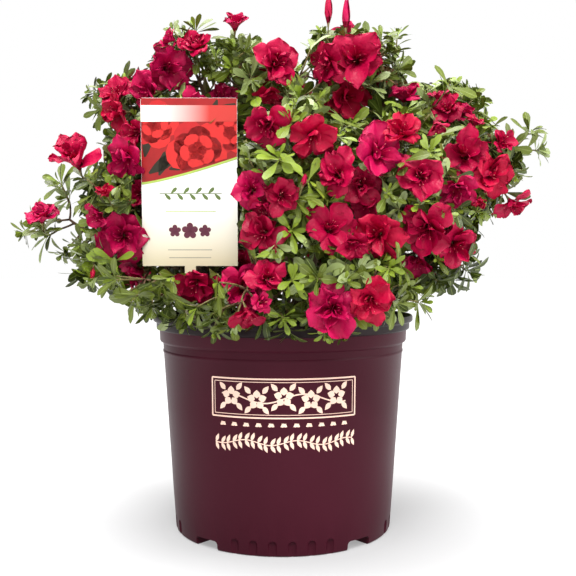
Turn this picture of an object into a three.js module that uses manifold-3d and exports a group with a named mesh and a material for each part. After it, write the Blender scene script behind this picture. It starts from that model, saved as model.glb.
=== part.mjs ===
// A flowering azalea shrub in its nursery pot, with a plain picture label standing in the soil.
// Millimetres, +Z up. The origin is the middle of the pot's flat underside, and the label faces -Y.
import * as THREE from "three";
import { mergeVertices } from "three/addons/utils/BufferGeometryUtils.js";
import Module from "manifold-3d";

const wasm = await Module();
wasm.setup();
const { Manifold, Mesh } = wasm;

// Driving dimensions of the pot
const POT_HEIGHT = 229;
const LIP_RADIUS = 140;
const LIP_DEPTH = 7;
const BAND_RADIUS = 136.6;
const BAND_DEPTH = 8;
const COLLAR_RADIUS = 133.4;
const COLLAR_DEPTH = 14;
const BODY_TOP_RADIUS = 129.6;
const FOOT_RADIUS = 116.4;
const FOOT_ROUND = 3;
const POT_WALL = 2.4;
const FOOT_WALL = 5;
const FOOT_WALL_HEIGHT = 22;
const FLOOR = 2.5;
const POT_SIDES = 48;
const FEET = 4;
const NOTCH_TURN_DEG = 41;
const NOTCH_WIDTH = 30;
const NOTCH_HEIGHT = 9.5;
const NOTCH_INNER_RADIUS = 72;
const FLUTES_PER_FOOT = 6;
const FLUTE_SPACING_DEG = 9.4;
const FLUTE_RADIUS = 4.9;
const FLUTE_DEPTH = 2.3;
const FLUTE_HEIGHT = 16.5;

// Driving dimensions of the soil and the label
const SOIL_TOP = 205;
const SOIL_SIDES = 24;
const LABEL_WIDTH = 95.2;
const LABEL_HEIGHT = 165.8;
const LABEL_THICK = 1.2;
const LABEL_FOOT_X = -92.4;
const LABEL_FOOT_Y = -72;
const LABEL_LEAN_DEG = 3;
const LABEL_RISE = 76.6;
const LABEL_STEM_WIDTH = 11;
const LABEL_STEM_DEPTH = 70;
const LABEL_VIEW_ROOM = 3.5;

// Driving dimensions of the stem and boughs
const GAP = 0.3;
const STEM_BASE_RADIUS = 15;
const STEM_RADIUS = 10.5;
const STEM_HEIGHT = 27;
const STEM_SIDES = 8;
const STEM_LEAN = [3, -2];
const STEM_FLARE = [1, 0.75, 0.35, 0.1, 0, -0.15];
const BOUGH_RADIUS = 5;
const BOUGH_SIDES = 4;
const BOUGH_RINGS = 4;
const THINNEST_BOUGH = 1.7;
const BOUGH_TAPER = 0.55;
const SIDE_BOUGH_SHARE = 0.86;
const ELBOW_SHARE = 0.45;
const DEPTH_IN_MASS = 0.28;
const PULL_TO_MASS = 1.4;
const LEAST_STEEPNESS = 0.35;
const ADDED_STEEPNESS = 1.5;

// Driving dimensions of the leaves and petals
const TWIG_RADIUS = 1.25;
const TWIG_TIP_RADIUS = 0.9;
const LEAF_LENGTH = 46;
const LEAF_WIDTH = 20;
const PETAL_LENGTH = 34;
const PETAL_WIDTH = 31;
const PETALS = 5;
const SHOULDER = 0.64;
const HUB = 3.5;
const FULL_WHORL = 5;
const BLOOM_WHORL = 3;
const FEWEST_LEAVES = 2;
const LEAF_NOTCH = { out: 4.2, up: 0.5 };
const PETAL_NOTCH = { out: 0.48, up: 5 };
const BLOOM_INSET = 7;
const BLOOM_SEAT = 12;
const BLOOM_THROAT = -7;

// Each try at a leaf is a share of its length and a steeper pitch in degrees. Each try at a bloom is a share of
// its size.
const LEAF_TRIES = [[1, 0], [0.86, 16], [0.7, 4], [0.7, 30]];
const BLOOM_TRIES = [1, 0.88, 0.76];

// The growing rule
const SEED = 7;
const SEED_STEP = 101;
const DIRECTIONS = 90;
const INNERMOST = -0.55;
const LAYERS = [1, 0.6, 0.3];
const INNER_LAYER = 0.25;
const TIP_INSET = 18;
const CROWN_HEART = 300;
const OWN_REACH = 1.15;
const STEM_PIECES = 3;
const SHORT_OF_MIDDLE = 0.15;
const BEND_SHARE = 0.55;
const BEND_DROP = 0.12;
const SHORTEST_SHOOT = 14;
const TRAVEL_COST = 14;
const SHOOT_SPACING = 32;
const BLOOM_SPACING = 34;
const SPACE_MARGIN = 1.2;
const LIMB_MARGIN = 1.4;
const ELBOW_ROOM = 6;
const SIMPLIFY = 0.05;

// Every mass of foliage: its name, its middle, its half sizes, its number of shoots, the share of them in
// bloom, the bough it leaves from and how far along, and how much its shoots lift towards the light.
const MASSES = [
  ["top_peak", [72, -8, 502], [50, 52, 62], 7, 0.7, "stem", 0.95, 0.6],
  ["upper_left_top", [-98, 8, 498], [48, 50, 58], 7, 0.7, "stem", 0.9, 0.5],
  ["front_middle", [14, -135, 362], [66, 54, 72], 8, 0.7, "stem", 0.75, 0.3],
  ["back_middle", [8, 150, 372], [74, 60, 78], 6, 0.6, "stem", 0.8, 0.4],
  ["right_middle", [196, -62, 372], [62, 60, 58], 7, 0.75, "stem", 0.55, 0.4],
  ["left_arm", [-236, -8, 334], [62, 52, 56], 6, 0.25, "stem", 0.5, 0.3],
  ["back_left", [-126, 116, 386], [80, 66, 76], 6, 0.6, "stem", 0.6, 0.4],
  ["back_right", [138, 112, 384], [80, 66, 76], 6, 0.6, "stem", 0.6, 0.4],
  ["front_right", [112, -122, 362], [64, 56, 68], 8, 0.7, "stem", 0.6, 0.3],
  ["top_left_sprig", [-42, -12, 502], [38, 42, 56], 4, 0.5, "upper_left_top", 0.4, 0.7],
  ["top_right_sprig", [124, 14, 484], [34, 40, 60], 4, 0.1, "top_peak", 0.6, 0.6],
  ["top_middle", [6, -50, 466], [50, 48, 62], 6, 0.7, "top_peak", 0.4, 0.5],
  ["back_top", [12, 84, 484], [70, 56, 60], 5, 0.6, "back_middle", 0.35, 0.6],
  ["right_upper", [172, 2, 444], [66, 62, 50], 7, 0.5, "right_middle", 0.3, 0.4],
  ["right_arm", [254, -6, 410], [48, 46, 48], 4, 0, "right_upper", 0.6, 0.4],
  ["right_low", [150, -74, 300], [62, 58, 52], 6, 0.65, "right_middle", 0.4, 0.1],
  ["front_left", [-98, -50, 392], [66, 52, 70], 4, 0.4, "upper_left_top", 0.25, 0.4],
  ["left_front", [-164, -62, 356], [56, 58, 58], 5, 0.75, "left_arm", 0.45, 0.35],
  ["left_low", [-160, -46, 292], [54, 54, 46], 5, 0.5, "left_arm", 0.35, 0.0],
  ["left_upper", [-154, 2, 448], [52, 58, 50], 6, 0.75, "upper_left_top", 0.35, 0.4],
  ["left_shoulder", [-216, 20, 398], [48, 52, 40], 4, 0.5, "left_arm", 0.55, 0.4],
  ["left_rim", [-114, -98, 262], [58, 52, 46], 5, 0.3, "left_low", 0.5, 0.0],
  ["front_rim", [-28, -146, 268], [64, 50, 52], 6, 0.6, "front_middle", 0.25, -0.1],
  ["right_rim", [66, -146, 262], [62, 50, 54], 6, 0.6, "front_right", 0.3, -0.1],
  ["back_low_left", [-92, 130, 276], [70, 60, 52], 5, 0.5, "back_left", 0.3, 0.1],
  ["back_low_right", [92, 132, 276], [70, 58, 52], 5, 0.5, "back_right", 0.3, 0.1],
].map(([name, at, half, shoots, bloom, from, along, lift]) => {
  return { name, at, half, shoots, bloom, from, along, lift };
});

// Colours and finishes
const potPlastic = new THREE.MeshStandardMaterial({ color: 0x4b202c, roughness: 0.42, metalness: 0 });
const pottingSoil = new THREE.MeshStandardMaterial({ color: 0x2b1d15, roughness: 0.95, metalness: 0 });
const bark = new THREE.MeshStandardMaterial({ color: 0x6a5340, roughness: 0.85, metalness: 0 });
const foliage = new THREE.MeshStandardMaterial({ color: 0x4f7a34, roughness: 0.55, metalness: 0 });
const labelCard = new THREE.MeshStandardMaterial({ color: 0xf1ecdc, roughness: 0.4, metalness: 0 });

// Vectors as plain arrays, so that the growing rule reads as sums
const plus = (a, b, s = 1) => [a[0] + s * b[0], a[1] + s * b[1], a[2] + s * b[2]];
const minus = (a, b) => plus(a, b, -1);
const times = (a, s) => [a[0] * s, a[1] * s, a[2] * s];
const dot = (a, b) => a[0] * b[0] + a[1] * b[1] + a[2] * b[2];
const cross = (a, b) => [a[1] * b[2] - a[2] * b[1], a[2] * b[0] - a[0] * b[2], a[0] * b[1] - a[1] * b[0]];
const length = (a) => Math.sqrt(dot(a, a));
const unit = (a) => times(a, 1 / length(a));
const mix = (a, b, t) => plus(times(a, 1 - t), b, t);
const radians = (degrees) => (degrees * Math.PI) / 180;
const GOLDEN_ANGLE = Math.PI * (3 - Math.sqrt(5));
const UP = [0, 0, 1];

// A seeded stream of numbers from 0 to 1 (mulberry32).
function seededRandom(seed) {
  let state = seed >>> 0;
  return () => {
    state = (state + 0x6d2b79f5) >>> 0;
    let t = state;
    t = Math.imul(t ^ (t >>> 15), t | 1);
    t ^= t + Math.imul(t ^ (t >>> 7), t | 61);
    return ((t ^ (t >>> 14)) >>> 0) / 4294967296;
  };
}

// Two unit vectors square to an axis, turned about it by roll.
function sidesOf(axis, roll) {
  const helper = Math.abs(axis[2]) < 0.9 ? UP : [1, 0, 0];
  const u = unit(cross(helper, axis));
  const v = cross(axis, u);
  const c = Math.cos(roll);
  const s = Math.sin(roll);
  return [plus(times(u, c), v, s), plus(times(u, -s), v, c)];
}

// A closed solid from corners and triangles.
function solidFrom(corners, triangles) {
  const vertProperties = new Float32Array(corners.flat());
  const triVerts = new Uint32Array(triangles.flat());
  return new Manifold(new Mesh({ numProp: 3, vertProperties, triVerts }));
}

// A three.js geometry as a solid, with its shared corners merged and its faces pointing out.
function solidOf(geometry, matrix = new THREE.Matrix4()) {
  const bare = new THREE.BufferGeometry();
  bare.setAttribute("position", geometry.getAttribute("position").clone());
  if (geometry.index) bare.setIndex(geometry.index.clone());
  bare.applyMatrix4(matrix);
  const merged = mergeVertices(bare, 1e-3);
  const vertProperties = merged.attributes.position.array;
  const triVerts = new Uint32Array(merged.index.array);
  const made = new Manifold(new Mesh({ numProp: 3, vertProperties, triVerts }));
  if (made.volume() > 0) return made;
  for (let i = 0; i < triVerts.length; i += 3) {
    [triVerts[i + 1], triVerts[i + 2]] = [triVerts[i + 2], triVerts[i + 1]];
  }
  return new Manifold(new Mesh({ numProp: 3, vertProperties, triVerts }));
}

// A solid as a named three.js mesh.
function meshOf(name, solid, material) {
  const made = solid.getMesh();
  const corners = new Float32Array(made.numVert * 3);
  for (let i = 0; i < made.numVert; i++) {
    corners.set(made.vertProperties.subarray(i * made.numProp, i * made.numProp + 3), i * 3);
  }
  const geometry = new THREE.BufferGeometry();
  geometry.setAttribute("position", new THREE.BufferAttribute(corners, 3));
  geometry.setIndex(new THREE.BufferAttribute(made.triVerts, 1));
  geometry.computeVertexNormals();
  const mesh = new THREE.Mesh(geometry, material);
  mesh.name = name;
  return mesh;
}

// The largest body of a solid: loose scraps are dropped and sealed hollows are filled.
function largestBody(solid) {
  const bodies = solid.decompose();
  return bodies.reduce((best, body) => (body.volume() > best.volume() ? body : best));
}

// A profile of [radius, height] pairs turned about the pot's axis.
function turned(profile, sides) {
  const points = profile.map(([radius, height]) => new THREE.Vector2(radius, height));
  return solidOf(new THREE.LatheGeometry(points, sides), new THREE.Matrix4().makeRotationX(Math.PI / 2));
}

// An upright box whose middle stands at a radius and an angle round the pot's axis.
function radialBox(angle, innerRadius, outerRadius, width, low, high) {
  const geometry = new THREE.BoxGeometry(outerRadius - innerRadius, width, high - low);
  geometry.translate((outerRadius + innerRadius) / 2, 0, (high + low) / 2);
  return solidOf(geometry, new THREE.Matrix4().makeRotationZ(angle));
}

// A tapering limb along a path of points, closed at both ends.
function limbSolid(points, radii, sides, footAxis = null) {
  const corners = [];
  const triangles = [];
  points.forEach((point, i) => {
    const before = points[Math.max(0, i - 1)];
    const after = points[Math.min(points.length - 1, i + 1)];
    const [u, v] = sidesOf(i === 0 && footAxis ? footAxis : unit(minus(after, before)), 0);
    for (let k = 0; k < sides; k++) {
      const angle = (2 * Math.PI * k) / sides;
      corners.push(plus(plus(point, u, radii[i] * Math.cos(angle)), v, radii[i] * Math.sin(angle)));
    }
  });
  for (let i = 0; i + 1 < points.length; i++) {
    for (let k = 0; k < sides; k++) {
      const a = i * sides + k;
      const b = i * sides + ((k + 1) % sides);
      triangles.push([a, b, b + sides], [a, b + sides, a + sides]);
    }
  }
  const last = (points.length - 1) * sides;
  for (let k = 1; k + 1 < sides; k++) {
    triangles.push([0, k + 1, k], [last, last + k, last + k + 1]);
  }
  return solidFrom(corners, triangles);
}

// Pot
const bandTop = POT_HEIGHT - LIP_DEPTH;
const collarTop = bandTop - BAND_DEPTH;
const bodyTop = collarTop - COLLAR_DEPTH;
const bodyRim = bodyTop - 2;

function potInnerRadius(height) {
  return FOOT_RADIUS + ((BODY_TOP_RADIUS - FOOT_RADIUS) / bodyTop) * height - POT_WALL;
}

function makePot() {
  const outside = [
    [0, 0],
    [FOOT_RADIUS - FOOT_ROUND, 0],
    [FOOT_RADIUS, FOOT_ROUND],
    [BODY_TOP_RADIUS, bodyTop],
    [COLLAR_RADIUS - 0.8, bodyTop + 2],
    [COLLAR_RADIUS, collarTop],
    [BAND_RADIUS, collarTop + 1],
    [BAND_RADIUS, bandTop],
    [LIP_RADIUS, bandTop + 0.8],
    [LIP_RADIUS, POT_HEIGHT],
  ];
  const inside = [
    [LIP_RADIUS - POT_WALL, POT_HEIGHT],
    [BAND_RADIUS - POT_WALL, bandTop + 0.5],
    [COLLAR_RADIUS - POT_WALL, collarTop],
    [potInnerRadius(bodyRim), bodyRim],
    [potInnerRadius(FOOT_WALL_HEIGHT), FOOT_WALL_HEIGHT],
    [FOOT_RADIUS - FOOT_WALL, FOOT_WALL_HEIGHT - 3],
    [FOOT_RADIUS - FOOT_WALL, FLOOR],
    [0, FLOOR],
  ];
  const envelope = turned([...outside, [0, POT_HEIGHT]], POT_SIDES);
  let pot = turned([...outside, ...inside], POT_SIDES);
  for (const turn of [NOTCH_TURN_DEG, 180 - NOTCH_TURN_DEG, 180 + NOTCH_TURN_DEG, -NOTCH_TURN_DEG]) {
    const angle = radians(90 + turn);
    const [inner, outer, width] = [NOTCH_INNER_RADIUS - FLOOR, LIP_RADIUS, NOTCH_WIDTH + 2 * FLOOR];
    const roof = radialBox(angle, inner, outer, width, 0, NOTCH_HEIGHT + FLOOR).intersect(envelope);
    const notch = radialBox(angle, NOTCH_INNER_RADIUS, LIP_RADIUS + 1, NOTCH_WIDTH, -1, NOTCH_HEIGHT);
    pot = pot.add(roof).subtract(notch);
  }
  const flute = turned([
    [0, -1],
    [FLUTE_RADIUS, -1],
    [FLUTE_RADIUS, FLUTE_HEIGHT - FLUTE_RADIUS],
    [FLUTE_RADIUS * 0.7, FLUTE_HEIGHT - FLUTE_RADIUS * 0.3],
    [0, FLUTE_HEIGHT],
  ], 8);
  const reach = FOOT_RADIUS + FLUTE_RADIUS - FLUTE_DEPTH;
  for (let foot = 0; foot < FEET; foot++) {
    for (let i = 0; i < FLUTES_PER_FOOT; i++) {
      const angle = radians((360 * foot) / FEET + (i - (FLUTES_PER_FOOT - 1) / 2) * FLUTE_SPACING_DEG);
      pot = pot.subtract(flute.translate([reach * Math.cos(angle), reach * Math.sin(angle), 0]));
    }
  }
  return pot;
}

// Label: a flat card on a narrow pointed stem, in its own frame with x across, y up the card and z out of its
// face.
const labelMatrix = new THREE.Matrix4()
  .makeTranslation(LABEL_FOOT_X, LABEL_FOOT_Y, SOIL_TOP)
  .multiply(new THREE.Matrix4().makeRotationX(Math.PI / 2 + radians(LABEL_LEAN_DEG)));
const labelInverse = labelMatrix.clone().invert();

function labelOutline(spare) {
  const half = LABEL_WIDTH / 2 + spare;
  const stem = LABEL_STEM_WIDTH / 2 + spare;
  const shape = new THREE.Shape();
  shape.moveTo(-half, LABEL_RISE - spare);
  shape.lineTo(-stem, LABEL_RISE - spare);
  shape.lineTo(-stem, -LABEL_STEM_DEPTH + LABEL_STEM_WIDTH);
  shape.lineTo(0, -LABEL_STEM_DEPTH - spare);
  shape.lineTo(stem, -LABEL_STEM_DEPTH + LABEL_STEM_WIDTH);
  shape.lineTo(stem, LABEL_RISE - spare);
  shape.lineTo(half, LABEL_RISE - spare);
  shape.lineTo(half, LABEL_RISE + LABEL_HEIGHT + spare);
  shape.lineTo(-half, LABEL_RISE + LABEL_HEIGHT + spare);
  shape.closePath();
  return shape;
}

function makeLabel(spare = 0) {
  const depth = LABEL_THICK + 2 * spare;
  const geometry = new THREE.ExtrudeGeometry(labelOutline(spare), { depth, bevelEnabled: false });
  geometry.translate(0, 0, -depth / 2);
  return solidOf(geometry, labelMatrix);
}

// Soil, cut round the stem of the label
function makeSoil(labelRoom) {
  const low = NOTCH_HEIGHT + FLOOR + GAP;
  const profile = [
    [0, low],
    [FOOT_RADIUS - FOOT_WALL - GAP, low],
    [FOOT_RADIUS - FOOT_WALL - GAP, FOOT_WALL_HEIGHT - 3],
    [potInnerRadius(FOOT_WALL_HEIGHT) - GAP, FOOT_WALL_HEIGHT + 1],
    [potInnerRadius(bodyRim) - GAP, bodyRim],
    [potInnerRadius(bodyRim) - GAP, SOIL_TOP],
    [0, SOIL_TOP],
  ];
  return turned(profile, SOIL_SIDES).subtract(labelRoom);
}

// Trunk: a short leaning stem with its flare, cut flat where it meets the soil
const stemFoot = [0, 0, SOIL_TOP + GAP];
const stemTop = [STEM_LEAN[0], STEM_LEAN[1], SOIL_TOP + STEM_HEIGHT];

function makeStem(spare = 0) {
  const points = STEM_FLARE.map((_, i) => mix(stemFoot, stemTop, i / (STEM_FLARE.length - 1)));
  const radii = STEM_FLARE.map((flare) => STEM_RADIUS + (STEM_BASE_RADIUS - STEM_RADIUS) * flare + spare);
  return limbSolid(points, radii, STEM_SIDES, UP);
}

// Boughs: each is one curved, tapering limb from the trunk or from another bough to the edge of its mass
function growBoughs() {
  const boughs = {};
  for (const mass of MASSES) {
    const parent = boughs[mass.from];
    const start = parent ? curvePoint(parent, mass.along) : stemStart(mass);
    const thick = parent ? thicknessAt(parent, mass.along) * SIDE_BOUGH_SHARE : BOUGH_RADIUS;
    const thin = Math.max(THINNEST_BOUGH, thick * BOUGH_TAPER);
    const toward = unit(minus(mass.at, start));
    const end = plus(mass.at, toward, -(1 - DEPTH_IN_MASS) * reachOf(mass, toward));
    const away = parent
      ? unit(plus(curveDirection(parent, mass.along), toward, PULL_TO_MASS))
      : unit(plus(unit([toward[0], toward[1], 0]), UP, steepness(toward)));
    const elbow = plus(start, away, ELBOW_SHARE * length(minus(end, start)));
    boughs[mass.name] = { start, elbow, end, thick, thin, from: mass.from };
  }
  return boughs;
}

// How far a mass reaches from its middle in a direction.
function reachOf({ half }, direction) {
  return 1 / length(direction.map((d, i) => d / half[i]));
}

// Boughs leave the trunk from their own side of it.
function stemStart({ at, along }) {
  return plus(mix(stemFoot, stemTop, along), unit([at[0], at[1], 0]), 0.5 * STEM_RADIUS);
}

const steepness = (toward) => LEAST_STEEPNESS + ADDED_STEEPNESS * Math.max(0, toward[2]);
const thicknessAt = (bough, t) => bough.thick + (bough.thin - bough.thick) * t;

function curvePoint(bough, t) {
  return mix(mix(bough.start, bough.elbow, t), mix(bough.elbow, bough.end, t), t);
}

function curveDirection(bough, t) {
  return unit(mix(minus(bough.elbow, bough.start), minus(bough.end, bough.elbow), t));
}

function boughPath(bough, rings) {
  return Array.from({ length: rings + 1 }, (_, i) => curvePoint(bough, i / rings));
}

function boughSolid(bough, spare = 0) {
  const points = boughPath(bough, BOUGH_RINGS);
  const radii = points.map((_, i) => thicknessAt(bough, i / BOUGH_RINGS) + spare);
  return limbSolid(points, radii, BOUGH_SIDES);
}

// What a twig or leaf may not touch: the pot and soil, the label with the view of its face, and the limbs
function blockedByPot(p, margin) {
  if (p[2] > POT_HEIGHT + margin) return false;
  const radius = Math.hypot(p[0], p[1]);
  const outer = p[2] > bodyTop ? LIP_RADIUS : potInnerRadius(p[2]) + POT_WALL;
  if (radius > outer + margin) return false;
  return !(radius < potInnerRadius(SOIL_TOP) - margin && p[2] > SOIL_TOP + margin);
}

function blockedByLabel(p) {
  const local = new THREE.Vector3(...p).applyMatrix4(labelInverse);
  const across = Math.abs(local.x) < LABEL_WIDTH / 2 + LABEL_VIEW_ROOM;
  const onCard = across && local.y > LABEL_RISE - LABEL_VIEW_ROOM
    && local.y < LABEL_RISE + LABEL_HEIGHT + LABEL_VIEW_ROOM;
  const onStem = Math.abs(local.x) < LABEL_STEM_WIDTH / 2 + 2 && local.y < LABEL_RISE + 4;
  return (onCard && local.z > -LABEL_VIEW_ROOM) || (onStem && Math.abs(local.z) < LABEL_VIEW_ROOM);
}

function distanceToSegment(p, a, b) {
  const along = minus(b, a);
  const t = Math.min(1, Math.max(0, dot(minus(p, a), along) / dot(along, along)));
  return [length(minus(p, plus(a, along, t))), t];
}

function blockedByLimbs(p, limbs, margin) {
  return limbs.some(({ points, radii }) => {
    for (let i = 0; i + 1 < points.length; i++) {
      const [distance, t] = distanceToSegment(p, points[i], points[i + 1]);
      if (distance < radii[i] + (radii[i + 1] - radii[i]) * t + margin) return true;
    }
    return false;
  });
}

// A mass keeps to its own space: inside its own ellipsoid, and nearer to its middle than to any other's.
function spaceLeft(p, mass) {
  const share = (m) => length(minus(p, m.at).map((d, i) => d / m.half[i]));
  if (share(mass) > OWN_REACH) return -1;
  const weight = (m) => (m.half[0] * m.half[1] * m.half[2]) ** (2 / 3);
  const power = (m) => dot(minus(p, m.at), minus(p, m.at)) - weight(m);
  const own = power(mass);
  let room = Infinity;
  for (const other of MASSES) {
    if (other === mass) continue;
    const apart = length(minus(other.at, mass.at));
    room = Math.min(room, (power(other) - own) / (2 * apart));
  }
  return room;
}

// A place round a shoot's axis: its angle, how far out it is and how far up the axis.
function frameAt({ at, axis, u, v }) {
  return (angle, out, up) => {
    const around = plus(plus(at, u, out * Math.cos(angle)), v, out * Math.sin(angle));
    return plus(around, axis, up);
  };
}

// A whorl is a star-shaped rim round its shoot's axis: each arm has two shoulders and a tip, with a notch after
// it. Where an arm is missing, the rim keeps the small hub between its neighbours.
function armPoints(place, { angle, long, wide, pitch, curl, room }) {
  const flat = Math.cos(pitch);
  const rise = Math.sin(pitch);
  const shoulder = SHOULDER * long;
  const side = Math.min(Math.atan2(wide / 2, shoulder * flat), room);
  const out = (shoulder * flat) / Math.cos(side);
  return [
    place(angle - side, out, shoulder * rise),
    place(angle, long * flat, long * rise + curl),
    place(angle + side, out, shoulder * rise),
  ];
}

function evenAngles(count, jitter, random) {
  const step = (2 * Math.PI) / count;
  const angles = Array.from({ length: count }, (_, i) => step * (i + jitter * (random() - 0.5)));
  return angles.map((angle, i) => {
    const after = (angles[(i + 1) % count] - angle + 2 * Math.PI) % (2 * Math.PI);
    const before = (angle - angles[(i + count - 1) % count] + 2 * Math.PI) % (2 * Math.PI);
    return { angle, notchAngle: angle + after / 2, room: 0.42 * Math.min(after, before) };
  });
}

function starRim(place, arms, notch) {
  return arms.flatMap(({ notchAngle, points }) => {
    return [...(points ?? []), place(notchAngle, notch.out, notch.up)];
  });
}

// Points along an arm, to test that it stays in its own space.
function armSamples(heart, [left, tip, right]) {
  const along = [mix(heart, tip, 0.3), mix(heart, tip, 0.55), mix(left, tip, 0.5), mix(right, tip, 0.5)];
  return [left, tip, right, ...along];
}

// The whorl of leaves at a shoot's tip. A leaf that would leave its space is tried shorter and steeper, then
// skipped.
function leafRim(frame, random, count, clear) {
  const place = frameAt(frame);
  const heart = place(0, 0, 1);
  const arms = evenAngles(count, 0.3, random).map((arm, i) => {
    const long = LEAF_LENGTH * (0.8 + 0.28 * random());
    const wide = LEAF_WIDTH * (0.88 + 0.24 * random());
    const pitch = count < FULL_WHORL ? 2 + 14 * random() : i % 2 ? 12 + 14 * random() : 34 + 16 * random();
    const curl = -3 * random();
    for (const [shorter, steeper] of LEAF_TRIES) {
      const shape = { ...arm, long: long * shorter, wide, pitch: radians(pitch + steeper), curl };
      const points = armPoints(place, shape);
      if (armSamples(heart, points).every(clear)) return { ...arm, points };
    }
    return arm;
  });
  return arms.filter((arm) => arm.points).length < FEWEST_LEAVES ? null : starRim(place, arms, LEAF_NOTCH);
}

// A bloom: five wide petals that open out of a narrow throat. It is tried at three sizes.
function bloomRim(frame, random, clear) {
  const place = frameAt(frame);
  const heart = place(0, 0, BLOOM_THROAT);
  const petals = evenAngles(PETALS, 0, random).map((arm) => ({
    ...arm,
    long: PETAL_LENGTH * (0.94 + 0.16 * random()),
    pitch: radians(18 + 16 * random()),
    curl: -3 - 3 * random(),
  }));
  for (const size of BLOOM_TRIES) {
    const arms = petals.map((petal) => (
      { ...petal, points: armPoints(place, { ...petal, long: petal.long * size, wide: PETAL_WIDTH * size }) }
    ));
    if (arms.every(({ points }) => armSamples(heart, points).every(clear))) {
      return starRim(place, arms, { out: PETAL_NOTCH.out * PETAL_LENGTH * size, up: PETAL_NOTCH.up });
    }
  }
  return null;
}

// A closed skin over loops of corners, from the root of a shoot to its far end. Loops are joined by their
// angle round the shoot, so a three-sided twig can open out into a whorl and close again.
function skinOver(loops) {
  let first = 0;
  const rings = loops.map((loop) => {
    const ring = loop.map(({ angle }, i) => ({ index: first + i, angle }));
    first += loop.length;
    return ring;
  });
  const triangles = rings.slice(1).flatMap((ring, k) => band(rings[k], ring));
  for (let i = 1; i + 1 < rings[0].length; i++) triangles.push([0, i + 1, i]);
  return solidFrom(loops.flat().map(({ at }) => at), triangles);
}

function roundAxis(points, { at, u, v }) {
  const turn = (p) => Math.atan2(dot(minus(p, at), v), dot(minus(p, at), u));
  return points.map((p) => ({ at: p, angle: (turn(p) + 2 * Math.PI) % (2 * Math.PI) }));
}

function band(low, high) {
  if (high.length === 1) {
    return low.map(({ index }, i) => [index, low[(i + 1) % low.length].index, high[0].index]);
  }
  const full = 2 * Math.PI;
  const lead = low.reduce((a, b, i) => (b.angle < low[a].angle ? i : a), 0);
  const start = high.reduce((a, b, i) => (b.angle < high[a].angle ? i : a), 0);
  const angleAt = (ring, from, i) => ring[(from + i) % ring.length].angle + (i >= ring.length ? full : 0);
  const at = (ring, from, i) => ring[(from + i) % ring.length].index;
  const triangles = [];
  let i = 0;
  let j = 0;
  while (i < low.length || j < high.length) {
    const lowFirst = angleAt(low, lead, i + 1) <= angleAt(high, start, j + 1);
    const lowTurn = j >= high.length || (i < low.length && lowFirst);
    if (lowTurn) {
      triangles.push([at(low, lead, i), at(low, lead, i + 1), at(high, start, j)]);
      i++;
    } else {
      triangles.push([at(high, start, j), at(low, lead, i), at(high, start, j + 1)]);
      j++;
    }
  }
  return triangles;
}

// A shoot: a three-sided twig from the wood it leaves, a whorl of leaves round its tip, and a bloom above
// some of them.
function shootSolid({ root, bend, frame, leaves, petals, bloomFrame }) {
  const { at: tip, axis } = frame;
  const ring = (at, along, radius) => {
    const u = unit(minus(frame.u, times(along, dot(frame.u, along))));
    const place = frameAt({ at, axis: along, u, v: cross(along, u) });
    return [0, 1, 2].map((k) => {
      const angle = (2 * Math.PI * k) / 3;
      return { at: place(angle, radius, 0), angle };
    });
  };
  const loops = [
    ring(root, unit(minus(bend, root)), TWIG_RADIUS),
    ring(bend, unit(minus(tip, root)), TWIG_RADIUS),
    ring(plus(tip, axis, -HUB), axis, TWIG_TIP_RADIUS),
    roundAxis(leaves, frame),
  ];
  if (petals) {
    loops.push(ring(plus(tip, axis, HUB), axis, TWIG_TIP_RADIUS), roundAxis(petals, bloomFrame));
    loops.push([{ at: plus(bloomFrame.at, axis, BLOOM_THROAT) }]);
  } else {
    loops.push([{ at: plus(tip, axis, HUB) }]);
  }
  return skinOver(loops);
}

// True where two solids share some space.
function touches(obstacle, solid) {
  const a = obstacle.boundingBox();
  const b = solid.boundingBox();
  const apart = [0, 1, 2].some((i) => a.min[i] > b.max[i] || b.min[i] > a.max[i]);
  return !apart && obstacle.intersect(solid).volume() > 1e-6;
}

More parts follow.
